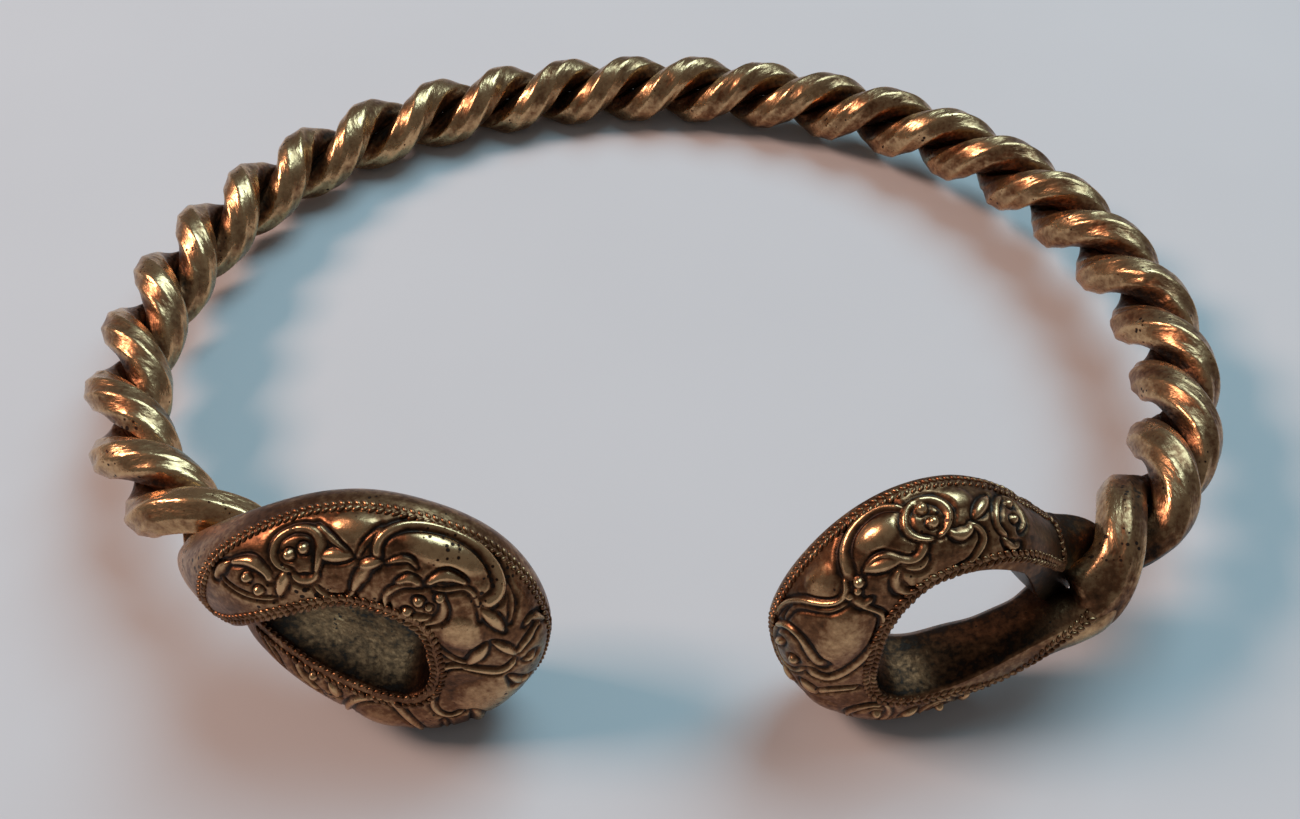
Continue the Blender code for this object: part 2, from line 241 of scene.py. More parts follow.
def strand(length, number):
    """Middle line of one rod, and the direction from the hoop's middle line out to it."""
    length = np.asarray(length, dtype=float)
    point = read_line(HOOP_LENGTH, HOOP_POINTS, length)
    outward = read_line(HOOP_LENGTH, HOOP_OUTWARD, length)
    angle = math.pi * (number - half_turns(length))[..., None]
    away = np.cos(angle) * outward + np.sin(angle) * np.array((0.0, 0.0, 1.0))
    return point + ROD_OFFSET * away, away


def smooth_line(knots, values, count):
    """Natural cubic spline through the values at the knots, read at count even steps."""
    knots = np.asarray(knots, dtype=float)
    values = np.asarray(values, dtype=float)
    gaps = np.diff(knots)
    size = len(knots)
    matrix = np.eye(size)
    right = np.zeros_like(values)
    for k in range(1, size - 1):
        matrix[k, k - 1] = gaps[k - 1]
        matrix[k, k] = 2.0 * (gaps[k - 1] + gaps[k])
        matrix[k, k + 1] = gaps[k]
        slopes = np.diff(values[k - 1 : k + 2], axis=0)
        right[k] = 6.0 * (slopes[1] / gaps[k] - slopes[0] / gaps[k - 1])
    bend = np.linalg.solve(matrix, right)
    place = np.linspace(knots[0], knots[-1], count)
    cell = np.clip(np.searchsorted(knots, place, side="right") - 1, 0, size - 2)
    gap = gaps[cell][:, None]
    before = (place - knots[cell])[:, None]
    after = gap - before
    curve = (bend[cell] * after**3 + bend[cell + 1] * before**3) / (6.0 * gap)
    line = (values[cell] / gap - bend[cell] * gap / 6.0) * after
    line = line + (values[cell + 1] / gap - bend[cell + 1] * gap / 6.0) * before
    return curve + line


def loop_axes(plan):
    """Directions of a loop: along it to the tip, up across it, and forward out of its hole."""
    turn = math.radians(plan["turn"])
    rise = math.radians(plan["rise"])
    lean = math.radians(plan["lean"])
    side = plan["side"]
    flat = np.array((side * math.cos(turn), -math.sin(turn), 0.0))
    front = np.array((-side * math.sin(turn), -math.cos(turn), 0.0))
    up = np.array((0.0, 0.0, 1.0))
    to_tip = math.cos(rise) * flat + math.sin(rise) * up
    across = -math.sin(rise) * flat + math.cos(rise) * up
    forward = math.cos(lean) * front + math.sin(lean) * across
    upward = -math.sin(lean) * front + math.cos(lean) * across
    return to_tip, upward, forward


def arm_knots(plan, rod):
    """Knots of one arm, from its lead along the rod to just short of the tip, and their widths."""
    to_tip, upward, forward = loop_axes(plan)
    name = ("over", "under")[rod]
    arm_width = plan["arm_widths"][rod]
    sign = plan["side"] * (1 - 2 * rod)
    lead = plan["leaves"][rod] + np.linspace(LEAD, 0.0, LEAD_STEPS) * plan["side"]
    points = list(strand(lead, rod)[0]) + list(np.array(plan["crossings"][rod]) * MM)
    widths = [plan["end_widths"][rod]] * len(points)
    for k in (3, 2, 1, 0):
        place = np.array(plan["centre"]) + plan["stations"][k] * to_tip
        height = sign * plan[name + "_height"][k]
        points.append(place + height * upward + plan[name + "_depth"][k] * forward)
        if k == 3:
            widths.append(plan["neck_widths"][rod])
            continue
        share = STATION_WIDTHS[k]
        widths.append(share * plan["tip_width"] + (1.0 - share) * arm_width)
    return points, widths


def loop_curve(plan):
    """Fine middle line of a loop with its leads: points, lengths, widths, and the two collars."""
    to_tip, _, forward = loop_axes(plan)
    over, over_widths = arm_knots(plan, 0)
    under, under_widths = arm_knots(plan, 1)
    tip_point = np.array(plan["centre"]) + plan["reach"] * to_tip + TIP_FORWARD * forward
    points = np.array(over + [tip_point] + under[::-1])
    widths = np.array(over_widths + [plan["tip_width"]] + under_widths[::-1])
    steps = np.linalg.norm(np.diff(points, axis=0), axis=1) ** KNOT_POWER
    knots = np.concatenate([[0.0], np.cumsum(steps)])
    places = np.linspace(knots[0], knots[-1], LOOP_LINE_STEPS)
    line = smooth_line(knots, points, LOOP_LINE_STEPS)
    length = line_lengths(line)
    width = np.interp(places, knots, widths)
    first = np.interp(knots[LEAD_STEPS - 1], places, length) + plan["collars"][0]
    last = np.interp(knots[-LEAD_STEPS], places, length) - plan["collars"][1]
    return line, length, width, first, last


def carried_direction(along, start, middle):
    """A direction carried from the middle of a line to both of its ends without twisting."""
    carried = np.zeros_like(along)
    carried[middle] = unit(start - along[middle] * (start @ along[middle]))
    for step in (1, -1):
        k = middle
        while 0 <= k + step < len(along):
            carried[k + step] = unit(carried[k] - along[k + step] * (carried[k] @ along[k + step]))
            k += step
    return carried


def laid_down(points):
    """From the hoop's plane to the ground."""
    lay = Matrix.Translation((MIDDLE_SHIFT[0], MIDDLE_SHIFT[1], LIFT))
    lay = lay @ Matrix.Rotation(math.radians(-LIE_ROLL), 4, "Y")
    lay = lay @ Matrix.Rotation(math.radians(-LIE_TILT), 4, "X")
    matrix = np.array(lay)
    return points @ matrix[:3, :3].T + matrix[:3, 3]


def rod_line(number):
    """Fine middle line of one rod from collar to collar, and a direction across it all along."""
    left, right = (plan["leaves"][number] for plan in LOOPS.values())
    middle, away = strand(np.arange(left + LEAD, right - LEAD, LINE_STEP), number)
    pieces = [middle]
    for plan in LOOPS.values():
        line, length, _, first, last = loop_curve(plan)
        if number == 1:
            line = line[::-1]
            length = length[-1] - length[::-1]
            first = length[-1] - last
        lead = read_line(length, line, np.arange(LINE_STEP, first + ROD_TENON, LINE_STEP))
        pieces = [lead[::-1]] + pieces if plan["side"] == 1 else pieces + [lead]
    line = np.concatenate(pieces)
    along = unit(np.gradient(line, axis=0))
    start = len(pieces[0])
    end = start + len(middle)
    across = np.zeros_like(line)
    across[start:end] = away
    across[:start] = carried_direction(along[: start + 1], away[0], start)[:start]
    across[end:] = carried_direction(along[end - 1 :], away[-1], 0)[1:]
    return line, along, unit(across - along * np.sum(across * along, axis=1, keepdims=True))


# ---------------------------------------------------------------------------------------------------
# Meshes.


def tube_mesh(name, rings, values):
    """One closed skin through the rings, capped at both ends, with its point values as attributes."""
    rows, size = rings.shape[:2]
    points = np.concatenate([rings.reshape(-1, 3), rings[:1].mean(axis=1), rings[-1:].mean(axis=1)])
    first = np.arange(rows * size).reshape(rows, size)[:-1]
    after = np.roll(first, -1, axis=1)
    quads = np.stack([first, after, after + size, first + size], axis=-1).reshape(-1, 4)
    faces = quads.tolist()
    for start, middle in ((0, rows * size), ((rows - 1) * size, rows * size + 1)):
        for k in range(size):
            faces.append((start + k, start + (k + 1) % size, middle))
    mesh = bpy.data.meshes.new(name)
    mesh.from_pydata(points, [], faces)
    for label, value in values.items():
        store(mesh, label, value.reshape(rows * size, -1))
    shape = bmesh.new()
    shape.from_mesh(mesh)
    bmesh.ops.recalc_face_normals(shape, faces=shape.faces)
    shape.to_mesh(mesh)
    shape.free()
    mesh.shade_smooth()
    return mesh


def store(mesh, label, value):
    """A number or a vector for each point of a mesh; the two cap points take the nearest ring's."""
    value = np.concatenate([value, value[:1], value[-1:]])
    kind = "FLOAT" if value.shape[1] == 1 else "FLOAT_VECTOR"
    layer = mesh.attributes.new(label, kind, "POINT")
    layer.data.foreach_set("value" if kind == "FLOAT" else "vector", value.astype(np.float32).ravel())


def add_piece(name, mesh, material, slot, *nodes):
    """Puts a finished mesh in the scene, riding on the root body, in place of any plain solids."""
    mesh.materials.clear()
    mesh.materials.append(material)
    piece = bpy.data.objects.new(name, mesh)
    bpy.context.scene.collection.objects.link(piece)
    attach(piece, "root")
    if nodes:
        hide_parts(*nodes)


# ---------------------------------------------------------------------------------------------------
# The rods: hammered along their length into long narrow flats.

# Each rod's end is a thinner tenon inside its loop. Along the twist the rods touch on a rounder side.
ROD_TENON = 3.0 * MM
TENON_RADIUS = 3.0 * MM
TENON_OVER = 1.0 * MM
TOUCH_RADIUS = 3.49 * MM
TOUCH_SIDE = (0.70, 0.93)
TWISTED_FROM = (10.0 * MM, 22.0 * MM)

# A blow strays from its even place by shares of its own length and width. It is sunk by a share of the
# full depth, tips a little along the rod, and is slightly hollow. The depth share cuts off the crests.
FLATS_AROUND = 7
BLOW_LENGTH = 4.8 * MM
BLOW_STRAY = 0.28
FLAT_STRAY = 0.17
SHALLOWEST = 0.15
BLOW_TIP = 0.012
BLOW_HOLLOW = 4.0
CREST_CUT = 0.12
STEEPEST = 0.25
EDGE_SOFTNESS = 0.06 * MM
BLOW_SEED = 11

# The rods are rubbed brightest where they face out of the twist; where they face each other the crevice
# is painted dark as shade. Standing edges are rubbed brighter, and the rods are darker towards the right.
# At the right loop both are painted darker as shade, the second more because the first shades it, and the
# casting runs up onto the first, on the side towards the hole. An edge stands out where it is less than a
# share of the flats' depth below the crests.
ROD_WEAR = 0.33
OUTER_RUB_AND_CREVICE_SHADE = 0.44
OUTER_SIDE = (-0.60, 0.35)
EDGE_WEAR = 0.3
EDGE_DEPTH = 0.4
RIGHTWARD_DARKENING = 0.16
SHADED_ROD = 1
END_PAINTED_SHADE = (0.10, 0.45)
END_SHADE_OVER = (6.0 * MM, 16.0 * MM)
WEB_OUT = 4.5 * MM
WEB_CREST = 3.5 * MM
WEB_LENGTH = 13.0 * MM


def blow_depth(length, angle, radius, depth, seed):
    """Distance from the rod's middle out to its hammered surface.

    Every blow leaves a nearly flat facet. The surface is the innermost of them, eased over the edges.
    """
    chance = np.random.default_rng(seed)
    count = int(math.ceil(length[-1] / BLOW_LENGTH)) + 2
    total = np.full((len(length), len(angle)), np.exp(-(depth * CREST_CUT) / EDGE_SOFTNESS))
    for flat in range(FLATS_AROUND):
        start = chance.uniform(0.0, 1.0)
        place = (np.arange(count) - start + chance.uniform(-BLOW_STRAY, BLOW_STRAY, count)) * BLOW_LENGTH
        turn = 2.0 * math.pi * (flat + chance.uniform(-FLAT_STRAY, FLAT_STRAY, count)) / FLATS_AROUND
        sunk = chance.uniform(SHALLOWEST, 1.0, count) * depth
        tip = chance.normal(0.0, BLOW_TIP, count)
        nearest = np.searchsorted((place[1:] + place[:-1]) / 2.0, length)
        for step in (-1, 0, 1):
            k = np.clip(nearest + step, 0, count - 1)
            away = length - place[k]
            level = radius - sunk[k] + tip[k] * away + BLOW_HOLLOW * away**2
            slant = np.cos(angle[None, :] - turn[k][:, None])
            reach = np.where(slant > STEEPEST, level[:, None] / np.maximum(slant, STEEPEST), 4.0 * radius)
            total += np.exp(-(reach - radius) / EDGE_SOFTNESS)
    return radius - EDGE_SOFTNESS * np.log(total)


def rod_rings(number, radius, depth):
    """Rings of points along one hammered rod, its level of wear and painted shade at each point, and its
    place in the rod.
    """
    line, along, across = rod_line(number)
    length = line_lengths(line)
    even = np.linspace(0.0, length[-1], int(round(length[-1] / ROD_STEP)) + 1)
    middle = read_line(length, line, even)[:, None]
    along = unit(read_line(length, along, even))
    across = unit(read_line(length, across, even))
    beside = np.cross(along, across)[:, None]
    across = across[:, None]
    angle = 2.0 * math.pi * np.arange(ROD_AROUND) / ROD_AROUND
    reach = blow_depth(even, angle, radius, depth, BLOW_SEED + number)
    to_right = even[-1] - even[:, None]
    end = np.minimum(even[:, None], to_right)
    twisted = smoothstep(*TWISTED_FROM, end)
    reach += (TOUCH_RADIUS - reach) * twisted * smoothstep(*TOUCH_SIDE, -np.cos(angle))[None, :]
    sunk = smoothstep(0.0, ROD_TENON + TENON_OVER, end)
    reach = TENON_RADIUS + (reach - TENON_RADIUS) * sunk
    cosine = np.cos(angle)[None, :, None]
    sine = np.sin(angle)[None, :, None]
    ray = cosine * across + sine * beside
    rings = middle + reach[..., None] * ray
    if number != SHADED_ROD:
        web = smoothstep(0.0, WEB_CREST, to_right) * (1.0 - smoothstep(WEB_CREST, WEB_LENGTH, to_right))
        rings += WEB_OUT * web[..., None] * np.clip(-ray[..., :1], 0.0, 1.0) ** 2 * ray
    # Brighter where the rod faces out of the twist, as rubbing. Darker where it faces the other rod, as
    # painted shade in the crevice.
    turned_out = smoothstep(*OUTER_SIDE, np.cos(angle))[None, :]
    wear_and_painted_light = ROD_WEAR + OUTER_RUB_AND_CREVICE_SHADE * (1.0 - twisted + twisted * turned_out)
    wear_and_painted_light += EDGE_WEAR * (reach - radius + EDGE_DEPTH * depth) / depth
    # Darker towards the right end.
    wear_and_painted_light -= RIGHTWARD_DARKENING * even[:, None] / even[-1]
    # Painted shade near the right loop, deeper on the rod that the other one shades.
    wear_and_painted_light -= END_PAINTED_SHADE[number] * (1.0 - smoothstep(*END_SHADE_OVER, to_right))
    grain = np.stack([even[:, None] + 0.0 * reach, reach * np.cos(angle), reach * np.sin(angle)], axis=-1)
    rings = laid_down(rings)
    rings[..., 2] = np.maximum(rings[..., 2], 0.0)
    return rings, np.clip(wear_and_painted_light, 0.0, 1.0), grain


# ---------------------------------------------------------------------------------------------------
# The loops: a bar of full rounded section, with scrollwork on its face.
#
# A place on the face is given by how far along the loop it is, in millimetres from the over arm's
# rod, and by its share across, from 0 at the outer rim to 1 at the edge of the hole.

# At its seams the bar starts inside the rod, as a share of the solid's size, and then grows over it.
SEAM = 2.5 * MM
SEAM_OVER = 1.5 * MM
SEAM_SIZE = 0.92
SEAM_GROWTH = 0.14
FULL_LOSS = 0.06

# The face's points are spaced evenly for a usual bar. The wall of the hole bulges by a share of the bar's
# width, and the rounded back starts a little inside the edge of the hole.
USUAL_WIDTH = 13.0 * MM
USUAL_FRONT = 7.0 * MM
WALL_BULGE = 0.04
WALL_DEPTH = 0.93
BACK_START = -0.43
BACK_STEPS = 300


def outline_columns():
    """Points round the bar's section: share of the width, shares of front, back and rim, plain strip."""
    turn = np.linspace(0.0, math.pi / 2, 400)
    across = np.cos(turn) ** FACE_FULLNESS * USUAL_WIDTH
    ahead = np.sin(turn) ** FACE_FULLNESS * USUAL_FRONT
    arc = line_lengths(np.stack([across, ahead], axis=-1))
    face = np.interp(np.linspace(0.0, arc[-1], FACE_COLUMNS), arc, turn)
    columns = []
    for angle in face:
        high = math.sin(angle) ** FACE_FULLNESS
        columns.append((-0.5 + max(math.cos(angle), 0.0) ** FACE_FULLNESS, high, 0.0, 1.0 - high, 0.0))
    for k in range(1, WALL_COLUMNS):
        share = k / WALL_COLUMNS
        bulge = WALL_BULGE * math.sin(math.pi * share)
        columns.append((-0.5 - bulge, 1.0 - share, -WALL_DEPTH * share, 0.0, 0.0))
    for angle in np.linspace(0.0, math.pi / 2, BACK_COLUMNS):
        low = math.cos(angle)
        columns.append((BACK_START + (0.5 - BACK_START) * math.sin(angle), 0.0, -low, 1.0 - low, low - 1.0))
    for k in range(1, STRIP_COLUMNS):
        columns.append((0.5, 0.0, 0.0, 1.0, k / STRIP_COLUMNS - 1.0))
    return np.array(columns), face / (math.pi / 2)


def loop_surface(plan):
    """The bare loop: points by row and column, their lengths along it, and the face's shares across."""
    line, length, width, first, last = loop_curve(plan)
    even = np.linspace(first - SEAM, last + SEAM, int(round((last - first) / LOOP_STEP)) + 1)
    along = unit(np.gradient(line, axis=0))
    middle = int(np.searchsorted(length, (first + last) / 2.0))
    ahead = carried_direction(along, loop_axes(plan)[2], middle)

    def swelling(lengths):
        """From 0 at both ends of the bar to 1 where it has its full size."""
        share = np.minimum((even - first) / lengths[0], (last - even) / lengths[1])
        return np.sin(np.clip(share, 0.0, 1.0) * math.pi / 2.0)

    full = swelling(plan["swells"])[:, None, None]
    deep = swelling((DEPTH_SWELL, DEPTH_SWELL))
    thick = swelling(plan["back_swells"])
    where, depth = np.array(plan["backs"]).T * MM
    depth = smooth_line(where, depth[:, None], BACK_STEPS)[:, 0]
    back = np.interp(even - first, np.linspace(0.0, where[-1], BACK_STEPS), depth)
    front = SOLID_RADIUS + deep * (plan["front"] - SOLID_RADIUS)
    back = SOLID_RADIUS + thick * (back - SOLID_RADIUS)
    columns, shares = outline_columns()
    heights = np.stack([front, back, deep * plan["rim"], np.full_like(deep, plan["strip"])], axis=-1)
    width = np.outer(np.interp(even, length, width), columns[:, 0])
    outline = np.stack([width, heights @ columns[:, 1:].T], axis=-1)
    outline = outline * full + unit(outline) * SOLID_RADIUS * (1.0 - full)
    grown = smoothstep(-SEAM, SEAM_OVER, np.minimum(even - first, last - even))[:, None, None]
    outline = outline * (SEAM_SIZE + SEAM_GROWTH * grown - FULL_LOSS * full)
    along = unit(read_line(length, along, even))
    ahead = unit(read_line(length, ahead, even))
    outward = np.cross(ahead, along)[:, None]
    points = read_line(length, line, even)[:, None]
    points = points + outline[..., :1] * outward + outline[..., 1:] * ahead[:, None]
    return points, even - first, shares, outline


def surface_normals(points):
    """Directions out of a closed tube of points."""
    lengthways = np.gradient(points, axis=0)
    crossways = (np.roll(points, -1, axis=1) - np.roll(points, 1, axis=1)) / 2.0
    normals = unit(np.cross(lengthways, crossways))
    outward = points - points.mean(axis=1, keepdims=True)
    return normals * np.sign(np.sum(normals * outward))


def read_grid(grid, rows, columns, row, column):
    """A grid's values at fractions between its rows and columns."""
    down = np.interp(row, rows, np.arange(len(rows)))
    over = np.interp(column, columns, np.arange(len(columns)))
    k = np.clip(down.astype(int), 0, len(rows) - 2)
    j = np.clip(over.astype(int), 0, len(columns) - 2)
    down = (down - k)[:, None]
    over = (over - j)[:, None]
    before = grid[k, j] * (1 - over) + grid[k, j + 1] * over
    after = grid[k + 1, j] * (1 - over) + grid[k + 1, j + 1] * over
    return before * (1 - down) + after * down


# The scrollwork. Ridges are its strokes: their places, then their half widths in millimetres at the
# start, in the middle and at the end, and their height as a share of the relief's. Buds are leaf-shaped,
# from one place to another, with a half width. Pellets are round, with a radius after their place.
# Bosses are broad swellings: the middle, the half length and half width, and the height. Each cord has
# its course, and rows that say how far its two rows of beads are apart. Wear is how much lighter or darker
# a stretch is painted than the rest, as rubbing, painted sheen and painted shade.
LEFT_SCROLLS = {
    "ridges": (
        (((20.4, 0.53), (21.4, 0.45), (22.9, 0.41)), (0.4, 0.8, 0.3), 0.8),
        (((21.2, 0.54), (21.5, 0.62), (22.5, 0.75), (24.0, 0.84), (25.5, 0.88)), (0.25, 0.35, 0.25), 0.5),
        (((23.2, 0.42), (24.8, 0.46), (25.8, 0.55), (26.3, 0.64), (26.2, 0.72)), (0.4, 0.9, 0.3), 0.9),
        (((30.5, 0.24), (28.8, 0.3), (27.9, 0.42), (27.6, 0.53), (28.0, 0.62), (28.9, 0.68)),
         (0.5, 0.5, 0.3), 0.7),
        (((30.5, 0.24), (32.3, 0.28), (33.4, 0.38), (33.5, 0.48), (32.9, 0.62), (32.0, 0.74)),
         (0.5, 0.8, 0.3), 0.8),
        (((29.0, 0.7), (29.3, 0.77), (30.3, 0.8), (31.5, 0.79), (32.2, 0.73)), (0.2, 0.8, 0.2), 0.7),
        (((33.3, 0.24), (34.4, 0.36), (35.8, 0.47), (37.6, 0.57)), (0.3, 0.5, 0.2), 0.6),
        (((40.9, 0.24), (39.5, 0.44), (38.7, 0.6)), (0.3, 0.4, 0.2), 0.5),
        (((41.3, 0.61), (39.9, 0.71), (38.8, 0.82), (37.9, 0.91)), (0.3, 0.9, 0.45), 0.8),
        (((38.3, 0.88), (37.2, 0.95), (35.5, 0.975), (33.5, 0.97), (31.9, 0.94), (31.1, 0.87)),
         (0.45, 0.35, 0.3), 0.6),
        (((41.0, 0.55), (40.8, 0.42), (41.5, 0.27), (42.8, 0.15), (44.6, 0.08), (47.0, 0.05), (49.5, 0.08),
          (51.5, 0.16), (53.0, 0.27), (53.9, 0.4), (53.9, 0.53)), (0.6, 0.7, 0.95), 1.0),
        (((47.0, 0.66), (47.8, 0.56), (49.0, 0.51), (50.5, 0.5)), (0.4, 0.9, 0.3), 0.9),
        (((48.0, 0.68), (49.3, 0.64), (50.3, 0.57), (51.3, 0.54), (52.8, 0.57), (54.3, 0.62), (55.5, 0.66)),
         (0.3, 0.38, 0.25), 0.5),
        (((46.3, 0.71), (45.0, 0.74), (44.0, 0.79), (43.2, 0.86), (43.0, 0.92), (43.6, 0.98)),
         (0.3, 0.5, 0.3), 0.6),
        (((43.8, 0.75), (45.0, 0.68), (46.3, 0.7)), (0.3, 0.7, 0.4), 0.8),
        (((49.6, 0.74), (50.5, 0.77), (51.8, 0.85), (51.5, 0.92), (50.3, 0.97)), (0.4, 0.75, 0.3), 0.7),
        (((46.8, 0.99), (48.5, 0.97), (50.5, 0.9)), (0.3, 0.9, 0.3), 0.7),
        (((62.9, 0.83), (62.3, 0.89), (60.5, 0.94), (57.0, 0.98), (52.5, 0.99)), (0.4, 0.35, 0.3), 0.6),
        (((63.3, 0.52), (64.4, 0.57), (65.0, 0.65), (64.6, 0.76), (63.8, 0.87)), (0.3, 0.75, 0.4), 0.9),
        (((63.8, 0.86), (64.4, 0.94), (67.5, 0.98), (71.5, 0.985), (75.0, 0.97), (78.0, 0.93),
          (79.2, 0.86), (79.0, 0.77), (78.0, 0.7), (76.3, 0.68)), (0.5, 0.45, 0.4), 0.7),
        (((58.9, 0.35), (58.6, 0.25), (59.3, 0.15), (60.3, 0.08)), (0.3, 0.7, 0.3), 0.7),
        (((59.9, 0.16), (59.9, 0.26), (60.6, 0.35), (61.3, 0.43), (62.2, 0.5)), (0.3, 0.6, 0.3), 0.7),
        (((63.4, 0.33), (63.9, 0.38), (63.7, 0.44)), (0.7, 0.4, 0.2), 0.8),
        (((42.2, 0.6), (44.0, 0.51), (45.2, 0.56)), (0.2, 0.5, 0.2), 0.6),
        (((66.4, 0.54), (67.5, 0.46), (68.0, 0.38), (67.6, 0.29)), (0.3, 0.8, 0.3), 0.8),
        (((53.6, 0.24), (55.5, 0.33), (57.6, 0.48)), (0.2, 0.4, 0.2), 0.4),
        (((79.6, 0.66), (80.2, 0.5), (80.6, 0.3)), (0.3, 0.4, 0.2), 0.5),
        (((82.7, 0.42), (83.0, 0.62), (84.2, 0.8), (86.0, 0.93), (88.0, 0.965), (90.0, 0.92), (91.3, 0.8),
          (91.6, 0.62), (91.2, 0.42)), (0.4, 0.7, 0.5), 0.8),
        (((95.8, 0.66), (97.6, 0.74), (98.8, 0.84), (99.3, 0.93)), (0.4, 0.7, 0.3), 0.7),
        (((100.5, 0.6), (101.5, 0.75), (103.0, 0.86)), (0.3, 0.5, 0.2), 0.5),
    ),
    "buds": (
        ((26.2, 0.87), (28.3, 0.68), 0.8), ((33.2, 0.6), (37.9, 0.6), 0.95),
        ((39.1, 0.69), (41.6, 0.6), 0.8), ((54.2, 0.6), (58.3, 0.55), 0.95),
        ((59.4, 0.66), (62.4, 0.51), 0.7), ((59.6, 0.7), (63.2, 0.84), 0.95),
        ((75.0, 0.64), (78.6, 0.12), 1.0), ((93.2, 0.75), (95.2, 0.9), 0.7),
    ),
    "pellets": (
        (24.1, 0.62, 0.75), (24.5, 0.77, 0.75), (29.4, 0.52, 0.8), (31.3, 0.49, 0.8), (49.3, 0.73, 0.7),
        (47.2, 0.83, 0.8), (46.6, 0.94, 0.75), (49.0, 0.84, 0.6), (97.0, 0.86, 0.7),
    ),
    "bosses": (
        ((37.8, 0.28), (3.8, 0.26), 0.84), ((34.9, 0.84), (2.9, 0.11), 0.49),
        ((47.2, 0.31), (5.2, 0.21), 1.12), ((56.5, 0.81), (4.2, 0.15), 1.05),
        ((71.5, 0.6), (6.6, 0.34), 1.0), ((87.3, 0.6), (3.6, 0.3), 0.8),
    ),
    "rim_cord": (
        (11.5, 0.88), (12.6, 0.78), (14.6, 0.68), (17.0, 0.545), (19.0, 0.42), (21.0, 0.3), (24.0, 0.18),
        (28.0, 0.095), (33.0, 0.045), (40.0, 0.02), (50.0, 0.015), (65.0, 0.015), (85.0, 0.015),
        (104.0, 0.02),
    ),
    "rim_rows": ((0, 1.0), (104, 1.0)),
    "hole_cord": (
        (12.4, 0.9), (14.0, 0.93), (18.0, 0.955), (24.0, 0.975), (32.0, 0.985), (45.0, 0.985),
        (60.0, 0.98), (75.0, 0.98), (90.0, 0.975), (104.0, 0.965),
    ),
    "hole_rows": ((0, 0.9), (16, 1.0), (50, 1.2), (70, 1.3), (82, 1.7), (104, 1.6)),
    # Brighter at the start, as rubbing and painted sheen, and a little darker at the far end.
    "wear_and_painted_light": ((0, 0.3), (10, 0.22), (15, 0.0), (100, 0.0), (114, -0.1)),
}
